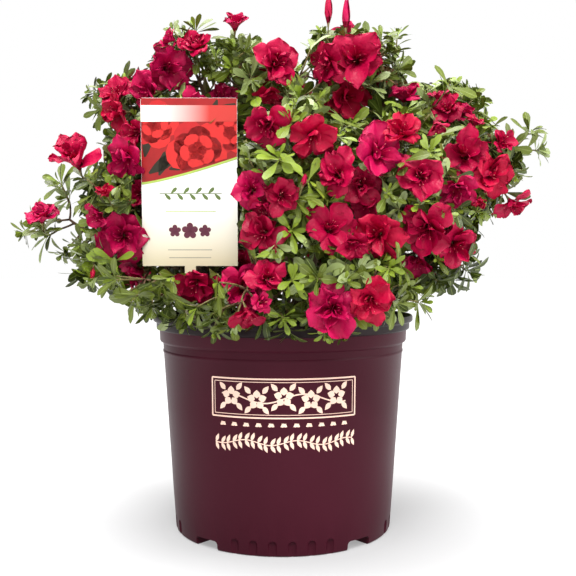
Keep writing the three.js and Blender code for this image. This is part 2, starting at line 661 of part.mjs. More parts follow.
// The growing rule of a mass: a stem from its bough's tip to its middle, and shoots spread over its outer
// side, each joined to the nearest wood and ending in a whorl of leaves, with or without a bloom.
function growMass(mass, index, boughs, limbs, obstacles) {
  const random = seededRandom(SEED + SEED_STEP * index);
  const outward = unit(minus(mass.at, [0, 0, CROWN_HEART]));
  const wood = massWood(mass, boughs[mass.name]);
  const stem = { points: wood.map(({ point }) => point), radii: wood.map(({ radius }) => radius) };
  const others = limbs.filter((limb) => limb.name !== mass.name);
  const free = (p, margin) => spaceLeft(p, mass) > margin && !blockedByPot(p, margin) && !blockedByLabel(p)
    && !blockedByLimbs(p, others, LIMB_MARGIN);
  const own = limbs.filter((limb) => limb.name === mass.name);
  const taken = [];
  const clear = (p) => free(p, SPACE_MARGIN) && !blockedByLimbs(p, own, LIMB_MARGIN)
    && taken.every((q) => length(minus(p, q)) > ELBOW_ROOM);
  const shoots = [];
  const directions = spreadDirections(outward, index, random);
  const crowded = (p, others, spacing) => others.some((s) => length(minus(s.tip, p)) < spacing);
  for (const { out, layer } of LAYERS.flatMap((layer) => directions.map((out) => ({ out, layer })))) {
    if (shoots.length >= mass.shoots) break;
    const reach = reachOf(mass, out);
    const inset = TIP_INSET + 8 * random();
    const jitter = [random() - 0.5, random() - 0.5, random() - 0.5];
    const tipAt = (inward) => {
      return plus(mass.at, out, layer * Math.max(INNER_LAYER * reach, reach - inset - inward));
    };
    const blooms = shoots.filter((s) => s.petals);
    const wantsBloom = blooms.length < mass.bloom * (shoots.length + 1) - 0.25
      && !crowded(tipAt(BLOOM_INSET), blooms, BLOOM_SPACING);
    const tip = tipAt(wantsBloom ? BLOOM_INSET : 0);
    if (crowded(tip, shoots, SHOOT_SPACING)) continue;
    const axis = unit(plus(plus(plus(times(out, 0.9), outward, 0.4), UP, mass.lift), jitter, 0.5));
    const root = nearestWood(wood, tip, axis);
    if (!root) continue;
    const bend = plus(mix(root.point, tip, BEND_SHARE), axis, -BEND_DROP * length(minus(tip, root.point)));
    const path = [0.3, 0.65, 1].flatMap((t) => [mix(root.point, bend, t), mix(bend, tip, t)]);
    if (!path.every((p) => free(p, SPACE_MARGIN + TWIG_RADIUS))) continue;
    const [u, v] = sidesOf(axis, random() * 2 * Math.PI);
    const frame = { at: tip, axis, u, v };
    const bloomFrame = { at: plus(tip, axis, BLOOM_SEAT), axis, u, v };
    const petals = wantsBloom ? bloomRim(bloomFrame, random, clear) : null;
    const leaves = leafRim(frame, random, petals ? BLOOM_WHORL : FULL_WHORL, clear);
    if (!leaves) continue;
    const solid = shootSolid({ root: root.point, bend, frame, leaves, petals, bloomFrame });
    if (obstacles.some((obstacle) => touches(obstacle, solid))) continue;
    shoots.push({ tip, solid, petals });
    const heart = plus(tip, axis, 1);
    const bloomHeart = plus(tip, axis, BLOOM_SEAT + BLOOM_THROAT);
    for (const p of leaves) taken.push(p, mix(heart, p, 0.5));
    for (const p of petals ?? []) taken.push(p, mix(bloomHeart, p, 0.5));
    for (const t of [0.25, 0.5, 0.75, 1]) taken.push(mix(root.point, bend, t), mix(bend, tip, t));
    wood.push({ point: bend, travel: root.travel + 0.5 });
  }
  return { stem, shoots };
}

// A mass's own stem, from its bough's tip to its middle.
function massWood(mass, bough) {
  const heading = curveDirection(bough, 1);
  const base = plus(bough.end, heading, GAP);
  const middle = mix(mass.at, base, SHORT_OF_MIDDLE);
  return Array.from({ length: STEM_PIECES + 1 }, (_, i) => {
    const t = i / STEM_PIECES;
    const straight = plus(base, heading, length(minus(middle, base)) * t);
    const radius = bough.thin + (TWIG_RADIUS - bough.thin) * t;
    return { point: mix(straight, mix(base, middle, t), t), radius, travel: t };
  });
}

// Directions spread evenly round a mass, the outer ones first, with some chance in their order.
function spreadDirections(outward, index, random) {
  const ranked = Array.from({ length: DIRECTIONS }, (_, i) => {
    const z = 1 - (2 * i + 1) / DIRECTIONS;
    const ring = Math.sqrt(1 - z * z);
    const turn = i * GOLDEN_ANGLE + index;
    const out = [ring * Math.cos(turn), ring * Math.sin(turn), z];
    return { out, rank: 0.7 * dot(out, outward) + 0.8 * random() };
  });
  const outer = ranked.filter(({ out }) => dot(out, outward) > INNERMOST);
  return outer.sort((a, b) => b.rank - a.rank).map(({ out }) => out);
}

// The wood that a new shoot leaves from: near its tip, low on the mass's own stem, and behind the shoot.
function nearestWood(wood, tip, axis) {
  let best = null;
  let least = Infinity;
  for (const place of wood) {
    const way = minus(tip, place.point);
    const far = length(way);
    if (far < SHORTEST_SHOOT) continue;
    const turn = dot(way, axis) / far;
    const cost = far * (1.5 - 0.5 * turn) + TRAVEL_COST * place.travel;
    if (cost < least) {
      least = cost;
      best = place;
    }
  }
  return best;
}

// A mass as one solid, with its stem and shoots joined.
function massSolid({ stem, shoots }) {
  const middle = limbSolid(stem.points, stem.radii, BOUGH_SIDES);
  const grown = shoots.reduce((solid, shoot) => solid.add(shoot.solid), middle);
  return largestBody(grown.simplify(SIMPLIFY));
}

// The whole plant
const azalea = new THREE.Group();
azalea.name = "azalea_shrub";
const pot = makePot();
const labelRoom = makeLabel(GAP);
const soil = makeSoil(labelRoom);
azalea.add(meshOf("pot", pot, potPlastic));
azalea.add(meshOf("soil", soil, pottingSoil));
azalea.add(meshOf("plant_label", makeLabel(), labelCard));
azalea.add(meshOf("trunk", makeStem(), bark));

const boughs = growBoughs();
const limbs = [{ name: "trunk", points: [stemFoot, stemTop], radii: [STEM_BASE_RADIUS, STEM_RADIUS] }];
const obstacles = [labelRoom, pot.add(soil), makeStem(GAP)];
let neighbours = makeStem(GAP);
for (const [name, bough] of Object.entries(boughs)) {
  const points = boughPath(bough, BOUGH_RINGS);
  limbs.push({ name, points, radii: points.map((_, i) => thicknessAt(bough, i / BOUGH_RINGS)) });
  const parent = boughs[bough.from] ? boughSolid(boughs[bough.from], GAP) : neighbours;
  const limb = largestBody(boughSolid(bough).subtract(parent));
  if (!boughs[bough.from]) neighbours = neighbours.add(boughSolid(bough, GAP));
  azalea.add(meshOf(`bough_${name}`, limb, bark));
  obstacles.push(boughSolid(bough, GAP * 0.9));
}
MASSES.forEach((mass, index) => {
  const grown = growMass(mass, index, boughs, limbs, obstacles);
  azalea.add(meshOf(`mass_${mass.name}`, massSolid(grown), foliage));
});

export default azalea;
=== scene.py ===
"""A flowering azalea shrub in its nursery pot, with a picture label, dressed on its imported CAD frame.

The growing rule of the part's source is written again here and carried on to finer twigs. Growth is worked
out in millimetres in the row frame, and every mesh is made in metres.
"""

import logging
import math
from collections.abc import Callable, Sequence
from dataclasses import dataclass, field
from enum import Enum, auto

import bpy
import numpy as np
from bpy.types import ID, Material, Node, NodeSocket, NodeTree, Object
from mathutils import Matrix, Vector, noise

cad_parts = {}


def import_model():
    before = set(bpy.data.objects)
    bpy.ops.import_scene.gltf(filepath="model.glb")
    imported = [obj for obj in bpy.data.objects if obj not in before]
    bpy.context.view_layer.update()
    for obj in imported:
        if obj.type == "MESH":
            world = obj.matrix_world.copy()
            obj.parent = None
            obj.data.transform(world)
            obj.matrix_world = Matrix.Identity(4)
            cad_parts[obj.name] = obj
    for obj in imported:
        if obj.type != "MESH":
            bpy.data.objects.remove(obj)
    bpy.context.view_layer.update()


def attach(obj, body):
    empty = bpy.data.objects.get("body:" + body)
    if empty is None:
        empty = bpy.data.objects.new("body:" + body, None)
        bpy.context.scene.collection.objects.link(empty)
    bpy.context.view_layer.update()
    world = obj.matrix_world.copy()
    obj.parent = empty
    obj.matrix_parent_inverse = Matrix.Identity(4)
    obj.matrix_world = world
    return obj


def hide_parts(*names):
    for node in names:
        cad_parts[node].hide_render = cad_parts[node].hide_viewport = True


Array = np.ndarray
Wood = list[tuple[Array, float]]
FlatShape = Sequence[tuple[float, float]]

log = logging.getLogger("azalea_shrub")

METRES = 0.001
BODY = "root"
UP = np.array([0.0, 0.0, 1.0])
GOLDEN_ANGLE = math.pi * (3 - math.sqrt(5))
WORD = 0xFFFFFFFF
FACE_AHEAD = 0.27
STALK = 9


# Small sums


def unit(v: Array) -> Array:
    """The vector at length 1."""
    return v / np.linalg.norm(v)


def mix(a: Array, b: Array, t: float) -> Array:
    """The point a share t of the way from a to b."""
    return a * (1 - t) + b * t


def units(a: Array) -> Array:
    """Every row at length 1."""
    return a / np.linalg.norm(a, axis=-1, keepdims=True)


def sides_of(axis: Array, roll: float = 0.0) -> tuple[Array, Array]:
    """Two unit vectors square to an axis.

    Args:
        axis: Unit vector.
        roll: Turn about the axis in radians.

    Returns:
        The two vectors.
    """
    helper = UP if abs(axis[2]) < 0.9 else np.array([1.0, 0.0, 0.0])
    u = unit(np.cross(helper, axis))
    v = np.cross(axis, u)
    c, s = math.cos(roll), math.sin(roll)
    return u * c + v * s, v * c - u * s


def linear(red: float, green: float, blue: float) -> tuple[float, float, float, float]:
    """A colour given in the usual 0 to 255 steps, as the linear colour that a shader takes.

    Args:
        red: Red from 0 to 255.
        green: Green from 0 to 255.
        blue: Blue from 0 to 255.

    Returns:
        Linear red, green, blue and 1.
    """
    shares = [c / 255 for c in (red, green, blue)]
    parts = [c / 12.92 if c <= 0.04045 else ((c + 0.055) / 1.055) ** 2.4 for c in shares]
    return (*parts, 1.0)


class SeededRandom:
    """The source's seeded stream of numbers from 0 to 1."""

    def __init__(self, seed: int) -> None:
        """Starts the stream at a seed."""
        self.state = seed & WORD

    def draw(self) -> float:
        """The next number of the stream.

        Returns:
            A number from 0 up to 1.
        """
        self.state = (self.state + 0x6D2B79F5) & WORD
        t = self.state
        t = ((t ^ (t >> 15)) * (t | 1)) & WORD
        t ^= (t + (((t ^ (t >> 7)) * (t | 61)) & WORD)) & WORD
        return ((t ^ (t >> 14)) & WORD) / (WORD + 1)

    def between(self, low: float, high: float) -> float:
        """The next number, spread from low to high."""
        return low + (high - low) * self.draw()


# Sizes of the pot, soil and label, as in the part's source


@dataclass(frozen=True)
class PotSizes:
    """Driving sizes of the pot and its soil, in millimetres."""

    height: float = 229
    lip_radius: float = 140
    lip_depth: float = 7
    band_radius: float = 136.6
    band_depth: float = 8
    collar_radius: float = 133.4
    collar_depth: float = 14
    body_top_radius: float = 129.6
    foot_radius: float = 116.4
    wall: float = 2.4
    foot_wall: float = 5
    slot_width: float = 30
    slot_height: float = 9.5
    slot_inner_radius: float = 72
    slot_turn_deg: float = 41
    feet: int = 4
    niches_per_foot: int = 6
    niche_step_deg: float = 9.4
    niche_radius: float = 4.9
    niche_depth: float = 2.3
    niche_height: float = 16.5
    soil_top: float = 205

    @property
    def body_top(self) -> float:
        """Height of the body's top edge, under the collar."""
        return self.height - self.lip_depth - self.band_depth - self.collar_depth

    def outer_radius(self, height: float) -> float:
        """Radius of the body's outside at a height."""
        return self.foot_radius + (self.body_top_radius - self.foot_radius) * height / self.body_top


@dataclass(frozen=True)
class LabelSizes:
    """Driving sizes of the label, in millimetres, with x across, y up the card and z out of its face."""

    width: float = 95.2
    height: float = 165.8
    thick: float = 1.2
    foot: tuple[float, float, float] = (-92.4, -72, 205)
    lean_deg: float = 3
    rise: float = 76.6
    stem_width: float = 11
    stem_depth: float = 70

    def to_world(self, points: Array) -> Array:
        """Points of the label's own frame, in the row frame.

        Args:
            points: Points in millimetres, with three numbers in their last axis.

        Returns:
            The same points in the row frame.
        """
        turn = math.radians(90 + self.lean_deg)
        c, s = math.cos(turn), math.sin(turn)
        x, y, z = points[..., 0], points[..., 1], points[..., 2]
        return np.stack([x, y * c - z * s, y * s + z * c], axis=-1) + np.array(self.foot)

    def to_card(self, points: Array) -> Array:
        """Points of the row frame, in the label's own frame.

        Args:
            points: Points in millimetres, with three numbers in their last axis.

        Returns:
            The same points in the label's frame.
        """
        turn = math.radians(90 + self.lean_deg)
        c, s = math.cos(turn), math.sin(turn)
        moved = points - np.array(self.foot)
        x, y, z = moved[..., 0], moved[..., 1], moved[..., 2]
        return np.stack([x, y * c + z * s, z * c - y * s], axis=-1)


POT = PotSizes()
LABEL = LabelSizes()


@dataclass(frozen=True)
class ViewPoint:
    """Where the picture is taken from, in millimetres and degrees."""

    place: tuple[float, float, float] = (5.4, -940, 287)
    pitch_down_deg: float = 1.83
    lens: float = 53.9
    sensor: float = 36

    def sight(self, across: float, height: float) -> Array:
        """The way from the viewer to a point of the upright plane through the pot's axis."""
        return unit(np.array([across, 0.0, height]) - np.array(self.place))

    def scale_at(self, point: Array) -> float:
        """How much larger a thing at a point really is than it looks against the upright plane."""
        return 1 - point[1] / self.place[1]

    def on_plane(self, points: Array) -> Array:
        """Where the lines of sight to points cross the upright plane: across and height, one a row.

        Args:
            points: Points in millimetres, one a row.

        Returns:
            Across and height, one row a point.
        """
        eye = np.array(self.place)
        share = eye[1] / (eye[1] - points[:, 1])
        return (eye + (points - eye) * share[:, None])[:, [0, 2]]


VIEW = ViewPoint()


@dataclass(frozen=True)
class CrownOutline:
    """The crown's edge and its gaps in the picture, in millimetres on the upright plane."""

    edge: tuple[tuple[float, float], ...] = (
        (-192, 469), (-187, 482), (-172, 486), (-146, 490), (-137, 505), (-131, 529), (-104, 538),
        (-84, 529), (-74, 520), (-60, 525), (-43, 525), (-23, 516), (-2, 505), (9, 497), (16, 488),
        (16, 469), (29, 462), (42, 469), (42, 484), (29, 497), (27, 514), (38, 531), (68, 536),
        (90, 531), (103, 520), (118, 520), (125, 508), (131, 492), (131, 479), (153, 475), (173, 484),
        (190, 479), (212, 473), (221, 460), (212, 447), (227, 441), (236, 428), (249, 412), (258, 397),
        (251, 378), (238, 363), (227, 350), (229, 337), (214, 328), (209, 311), (208, 289), (195, 270),
        (171, 257), (153, 248), (144, 235), (123, 227), (72, 220), (42, 207), (18, 214), (-21, 212),
        (-47, 212), (-76, 218), (-113, 220), (-146, 227), (-169, 240), (-185, 255), (-200, 263),
        (-211, 261), (-222, 279), (-233, 294), (-222, 309), (-209, 324), (-222, 346), (-207, 363),
        (-217, 378), (-196, 387), (-189, 400), (-196, 412), (-187, 430), (-196, 445),
    )
    gaps: tuple[tuple[float, float, float, float], ...] = (
        (-95, 477, 12, 15), (-67, 495, 5, 9), (27, 477, 12, 10), (-17, 486, 7, 3), (-191, 425, 5, 6),
        (241, 365, 7, 5), (192, 430, 4, 3), (163, 354, 3, 3), (164, 302, 4, 3), (136, 277, 4, 3),
        (-143, 244, 7, 9),
    )

    def sky(self, points: Array) -> Array:
        """Which points stand where the picture shows the sky: past the edge, or in a gap.

        Args:
            points: Points in millimetres, one a row.

        Returns:
            True for each point that stands against the sky.
        """
        spots = VIEW.on_plane(points)
        x, z = spots[:, :1], spots[:, 1:]
        start = np.array(self.edge, float)
        end = np.roll(start, -1, axis=0)
        rise = end[:, 1] - start[:, 1]
        rise[rise == 0] = 1
        crosses = (start[:, 1] > z) != (end[:, 1] > z)
        left = x < start[:, 0] + (z - start[:, 1]) * (end[:, 0] - start[:, 0]) / rise
        inside = np.sum(crosses & left, axis=1) % 2 == 1
        gaps = np.array(self.gaps, float)
        apart = ((x - gaps[:, 0]) / gaps[:, 2]) ** 2 + ((z - gaps[:, 1]) / gaps[:, 3]) ** 2
        return ~inside | (apart < 1).any(axis=1)


OUTLINE = CrownOutline()


# The plant's limbs and masses, as in the part's source


@dataclass(frozen=True)
class Mass:
    """One mass: its middle, half sizes, share in bloom, where its bough leaves from, and its lift."""

    name: str
    at: tuple[float, float, float]
    half: tuple[float, float, float]
    bloom: float
    leaves_from: str
    along: float
    lift: float

    @property
    def middle(self) -> Array:
        """The middle as an array."""
        return np.array(self.at, float)

    @property
    def halves(self) -> Array:
        """The half sizes as an array."""
        return np.array(self.half, float)

    @property
    def weight(self) -> float:
        """How strongly the mass claims the space between itself and the next."""
        return float(np.prod(self.halves)) ** (2 / 3)


MASSES = [
    Mass("top_peak", (72, -8, 502), (50, 52, 62), 0.7, "stem", 0.95, 0.6),
    Mass("upper_left_top", (-98, 8, 498), (48, 50, 58), 0.7, "stem", 0.9, 0.5),
    Mass("front_middle", (14, -135, 362), (66, 54, 72), 0.7, "stem", 0.75, 0.3),
    Mass("back_middle", (8, 150, 372), (74, 60, 78), 0.6, "stem", 0.8, 0.4),
    Mass("right_middle", (196, -62, 372), (62, 60, 58), 0.75, "stem", 0.55, 0.4),
    Mass("left_arm", (-236, -8, 334), (62, 52, 56), 0.25, "stem", 0.5, 0.3),
    Mass("back_left", (-126, 116, 386), (80, 66, 76), 0.6, "stem", 0.6, 0.4),
    Mass("back_right", (138, 112, 384), (80, 66, 76), 0.6, "stem", 0.6, 0.4),
    Mass("front_right", (112, -122, 362), (64, 56, 68), 0.7, "stem", 0.6, 0.3),
    Mass("top_left_sprig", (-42, -12, 502), (38, 42, 56), 0.5, "upper_left_top", 0.4, 0.7),
    Mass("top_right_sprig", (124, 14, 484), (34, 40, 60), 0.1, "top_peak", 0.6, 0.6),
    Mass("top_middle", (6, -50, 466), (50, 48, 62), 0.7, "top_peak", 0.4, 0.5),
    Mass("back_top", (12, 84, 484), (70, 56, 60), 0.6, "back_middle", 0.35, 0.6),
    Mass("right_upper", (172, 2, 444), (66, 62, 50), 0.5, "right_middle", 0.3, 0.4),
    Mass("right_arm", (254, -6, 410), (48, 46, 48), 0, "right_upper", 0.6, 0.4),
    Mass("right_low", (150, -74, 300), (62, 58, 52), 0.65, "right_middle", 0.4, 0.1),
    Mass("front_left", (-98, -50, 392), (66, 52, 70), 0.4, "upper_left_top", 0.25, 0.4),
    Mass("left_front", (-164, -62, 356), (56, 58, 58), 0.75, "left_arm", 0.45, 0.35),
    Mass("left_low", (-160, -46, 292), (54, 54, 46), 0.5, "left_arm", 0.35, 0.0),
    Mass("left_upper", (-154, 2, 448), (52, 58, 50), 0.75, "upper_left_top", 0.35, 0.4),
    Mass("left_shoulder", (-216, 20, 398), (48, 52, 40), 0.5, "left_arm", 0.55, 0.4),
    Mass("left_rim", (-114, -98, 262), (58, 52, 46), 0.3, "left_low", 0.5, 0.0),
    Mass("front_rim", (-28, -146, 268), (64, 50, 52), 0.6, "front_middle", 0.25, -0.1),
    Mass("right_rim", (66, -146, 262), (62, 50, 54), 0.6, "front_right", 0.3, -0.1),
    Mass("back_low_left", (-92, 130, 276), (70, 60, 52), 0.5, "back_left", 0.3, 0.1),
    Mass("back_low_right", (92, 132, 276), (70, 58, 52), 0.5, "back_right", 0.3, 0.1),
]


class ShootKind(Enum):
    """What a shoot carries at its tip."""

    LEAVES = auto()
    BLOOM = auto()


class LeafTint(Enum):
    """The base colour that a spray of leaves is dealt."""

    MID = auto()
    # Old dark-green leaves, and also a shaded copy of the leaf colour, dealt inside and under the crown as
    # painted shade
    DARK = auto()
    # A paler grey-green, partly a lit copy of the leaf colour, dealt most in the crown's top as painted light
    GREY = auto()
    FRESH = auto()
    LIME = auto()
    BRONZE = auto()
    RIB = auto()


class PetalTint(Enum):
    """The base colour that a bloom is dealt."""

    CRIMSON = auto()
    DEEP = auto()
    ROSE = auto()
    CHERRY = auto()
    THROAT = auto()


@dataclass(frozen=True)
class ShownBloom:
    """A bloom that shows from the front: its place on the upright plane, width, lean and opening.

    Lean is a share to the right and a share up; what is left faces the viewer. Opening is 1 when fully out.
    Behind is how far it sits behind the crown's front, in millimetres.
    """

    across: float
    height: float
    width: float
    right: float
    up: float
    opening: float = 1.0
    behind: float = 0.0


@dataclass(frozen=True)
class ShownSpray:
    """A spray of leaves that shows from the front, placed as the blooms are."""

    tint: LeafTint
    across: float
    height: float
    right: float
    up: float
    size: float = 1.0
    behind: float = 0.0


SHOWN_BLOOMS = [ShownBloom(*row) for row in (
    (-52, 543, 30, 0.1, 1.2, 0.5), (-96, 520, 40, -0.3, 0.7, 0.7), (-123, 527, 22, -0.9, 0.2, 0.6),
    (-124, 495, 47, 0.1, -0.4), (-148, 469, 42, -0.3, 0.1, 1, 8), (-180, 469, 34, -0.5, 0.6, 0.9, 6),
    (-6, 501, 47, 0.3, -0.1), (-12, 465, 34, 0.1, -0.7, 0.8, 20), (-19, 432, 47, 0.0, -0.1),
    (-67, 462, 38, 0.0, 0.5, 0.9), (-98, 454, 34, -0.1, 0.4, 0.9), (32, 419, 48, 0.1, -0.5),
    (46, 499, 43, -0.4, -0.1, 1, 8), (79, 505, 56, 0.1, 0.3), (70, 461, 46, 0.1, -0.4, 1, 6),
    (58, 382, 46, -0.3, 0.1, 1, 4), (-1, 357, 38, 0.3, 0.1, 0.9), (-34, 365, 38, -0.1, 0.3, 0.9, 8),
    (22, 371, 14, 0.1, 1.0, 0.2), (-23, 316, 44, -0.5, -0.2), (-20, 344, 34, -0.2, -0.6, 0.8, 10),
    (131, 468, 34, 0.1, 0.9, 0.8, 10), (168, 466, 20, 0.3, 0.7, 0.6, 4), (129, 428, 42, 0.2, 0.3),
    (178, 452, 32, -0.1, 0.3, 0.9), (196, 447, 24, 0.5, 0.5, 0.7, 4), (208, 437, 24, 0.4, 0.7, 0.7, 2),
    (167, 432, 26, 0.0, -0.8, 0.7, 6), (199, 402, 53, 0.0, 0.1), (228, 380, 45, 0.5, -0.3, 1, 8),
    (189, 363, 40, -0.1, -0.6, 0.9, 15), (239, 415, 27, 0.6, 0.3, 0.8, 4), (150, 378, 48, -0.1, -0.1),
    (104, 404, 54, 0.1, 0.1), (86, 371, 42, 0.1, 0.1, 1, 6), (90, 348, 38, -0.1, -0.2, 0.9, 14),
    (251, 346, 38, 0.3, -0.8, 0.7), (214, 351, 18, 0.1, -0.9, 0.3), (155, 321, 54, -0.1, 0.0),
    (188, 302, 45, 0.5, -0.3, 1, 8), (147, 283, 38, 0.0, -0.7, 0.9, 14), (102, 313, 50, -0.2, -0.1),
    (96, 242, 47, 0.0, 0.0), (54, 234, 53, 0.0, -0.2), (53, 324, 52, 0.1, 0.3),
    (77, 304, 34, 0.1, -0.4, 0.9, -8), (-43, 256, 48, 0.0, 0.0), (-37, 227, 38, 0.0, -0.6, 0.9, 6),
    (-17, 269, 40, 0.4, 0.1, 0.9, 12), (-45, 283, 32, 0.1, 0.6, 0.9, 14), (-94, 260, 46, 0.2, -0.1),
    (-175, 313, 52, -0.2, -0.1), (-162, 271, 40, -0.5, -0.5, 0.9, 6), (-225, 400, 60, 0.0, 1.1, 0.5),
    (-172, 397, 42, -0.1, -0.2), (-181, 448, 42, -0.5, -0.3), (-263, 336, 36, -0.2, 1.1, 0.45),
    (-193, 362, 22, -0.3, 0.5, 0.6, 4), (-202, 335, 30, -0.4, -0.7, 0.7, 2),
    (-157, 361, 26, -0.2, 0.1, 0.8), (-161, 425, 32, -0.3, 0.1, 0.9), (-23, 241, 22, 0.6, 0.1, 0.8, 2),
    (-207, 276, 13, 0.0, -1.0, 0.2), (49, 550, 27, -0.2, 1.3, 0.1), (68, 546, 31, 0.35, 1.3, 0.1),
)]

SHOWN_SPRAYS = [ShownSpray(tint, *row) for tint, rows in (
    (LeafTint.GREY, (
        (-32, 482, 0.5, -0.3), (158, 456, 0.0, -0.4, 0.9), (281, 408, 0.9, 0.2),
        (-50, 216, 0.1, -1.0, 0.9), (-13, 302, -0.6, -0.3, 0.9), (38, 302, 0.7, -0.4),
        (-263, 315, -0.8, 0.2, 1.1), (-209, 285, -0.2, -0.9, 1.1), (-37, 400, 0.0, 0.3),
        (187, 428, 0.0, 0.3), (-200, 465, -1.0, 0.1, 0.9), (-238, 356, -0.7, 0.3, 0.9),
        (-272, 330, -0.9, 0.1),
    )),
    (LeafTint.LIME, (
        (-72, 510, 0.3, 1.0, 1.0), (124, 535, 0.1, 1.2, 0.7), (136, 456, 0.1, 0.7, 0.9),
        (183, 477, -0.1, 1.0), (221, 438, 0.6, 0.6, 0.9), (216, 337, 0.6, -0.4, 0.8),
        (1, 220, 0.1, -0.6, 0.8), (46, 203, 0.0, -0.8, 0.8), (9, 322, 0.0, 0.3), (10, 266, 0.0, 0.1),
        (-180, 361, 0.0, 0.3, 1.1), (-145, 462, 0.0, 1.0, 0.6), (-113, 464, 0.0, 1.0, 0.5),
        (62, 428, 0.2, 0.8, 0.7), (152, 356, 0.1, 0.8, 0.8), (160, 408, 0.0, 0.3, 0.8),
        (116, 276, 0.0, -0.3, 0.8),
    )),
    (LeafTint.MID, (
        (-52, 518, 0.0, 0.8, 1.1), (-56, 497, -0.2, 0.5, 1.1), (-78, 488, -0.9, 0.1, 0.9),
        (16, 497, 0.6, 0.5, 0.8), (-95, 540, -0.1, 1.0, 1.0), (-36, 514, 0.9, 0.2, 1.1),
        (42, 534, -0.5, 0.8, 1.0), (118, 516, 0.6, 0.8, 1.1), (-196, 477, -0.2, 1.0, 0.9),
        (108, 530, 0.2, 0.8, 0.9), (98, 516, 0.3, 0.9, 1.0), (129, 495, 1.0, 0.3, 1.1),
        (208, 466, 0.4, 0.8, 0.9), (269, 431, 0.3, 0.9), (249, 410, 0.3, -0.2),
        (254, 376, 0.3, -0.9, 0.8), (184, 285, 0.8, -0.6, 1.1), (153, 255, 0.8, -0.4, 0.9),
        (-138, 259, -0.7, -0.3, 1.1), (-106, 225, 0.2, -0.9), (-78, 222, -0.1, -0.9, 0.9),
        (68, 266, 0.1, 0.2), (-246, 374, -0.6, 0.5), (-222, 304, -0.5, -0.2), (16, 357, 0.2, 0.6, 0.9),
        (100, 447, -0.3, 0.4), (113, 417, 0.0, 0.5, 0.8), (114, 363, 0.0, 0.4), (125, 309, 0.1, -0.2),
        (-202, 451, -0.8, -0.1), (-180, 434, -0.2, -0.2, 0.9), (-122, 538, -0.6, 0.5, 0.7),
        (114, 484, 0.5, 0.1), (-20, 384, 0.0, 0.3), (-56, 212, 0.0, -0.6, 0.9),
        (155, 240, 0.9, -0.2, 1.1), (-165, 245, -0.6, -0.5, 1.3), (-286, 316, -1.0, -0.2, 0.8),
        (-243, 292, -0.6, -0.6, 0.8),
    )),
    (LeafTint.BRONZE, (
        (111, 492, 0.4, 0.6, 0.6),
    )),
    # Dark sprays listed in the crown's hollows and under its lower edge, where their dark tint is partly
    # painted shade
    (LeafTint.DARK, (
        (199, 324, 0.5, -0.7), (190, 341, 0.2, -0.2, 0.9), (-207, 376, -0.3, 0.2),
        (-211, 469, -1.0, 0.3, 0.7), (-180, 423, -0.2, 0.4, 0.8), (96, 456, 0.2, 0.3, 1.0, 25),
        (84, 440, 0.0, 0.2, 1.0, 25), (80, 414, 0.0, 0.0, 1.0, 15), (104, 470, 0.3, 0.4, 0.9, 20),
        (-107, 216, -0.2, -1.0, 1.1), (-75, 208, 0.0, -1.0, 1.0), (7, 203, 0.1, -1.0, 1.0),
        (68, 205, 0.4, -0.9, 0.9), (203, 290, 0.9, -0.1, 1.2), (206, 272, 0.8, -0.5, 1.2),
        (182, 262, 0.2, -0.9, 1.2), (-215, 268, -0.2, -1.0, 1.2), (-143, 232, 0.0, -1.0, 1.2),
    )),
    (LeafTint.FRESH, (
        (-169, 432, 0.0, 0.3, 0.9), (75, 436, 0.3, 0.2, 0.9),
    )),
) for row in rows]


@dataclass
class Bough:
    """A curved, tapering limb that bends at its elbow."""

    name: str
    start: Array
    elbow: Array
    end: Array
    thick: float
    thin: float

    def point(self, t: float) -> Array:
        """The point a share t of the way along."""
        return mix(mix(self.start, self.elbow, t), mix(self.elbow, self.end, t), t)

    def heading(self, t: float) -> Array:
        """The direction a share t of the way along."""
        return unit(mix(self.elbow - self.start, self.end - self.elbow, t))

    def radius(self, t: float) -> float:
        """The radius a share t of the way along."""
        return self.thick + (self.thin - self.thick) * t


@dataclass
class Shoot:
    """A twig from the wood it leaves to its tip, and what it carries there."""

    mass: int
    root: Array
    bend: Array
    tip: Array
    axis: Array
    kind: ShootKind
    tint: LeafTint
    size: float = 1.0
    shown: bool = False

    @property
    def reach(self) -> float:
        """How far the tip is from the wood."""
        return float(np.linalg.norm(self.tip - self.root))

    def point(self, t: float) -> Array:
        """The point a share t of the way along, on a smooth curve through the bend."""
        pull = 2 * self.bend - 0.5 * (self.root + self.tip)
        return mix(mix(self.root, pull, t), mix(pull, self.tip, t), t)


@dataclass
class BloomPlace:
    """Where a bloom's throat is, which way it faces, how wide it is and how far it has opened."""

    throat: Array
    axis: Array
    width: float
    opening: float
    shown: bool

    @property
    def face(self) -> Array:
        """The middle of the open face."""
        return self.throat + self.axis * FACE_AHEAD * self.width


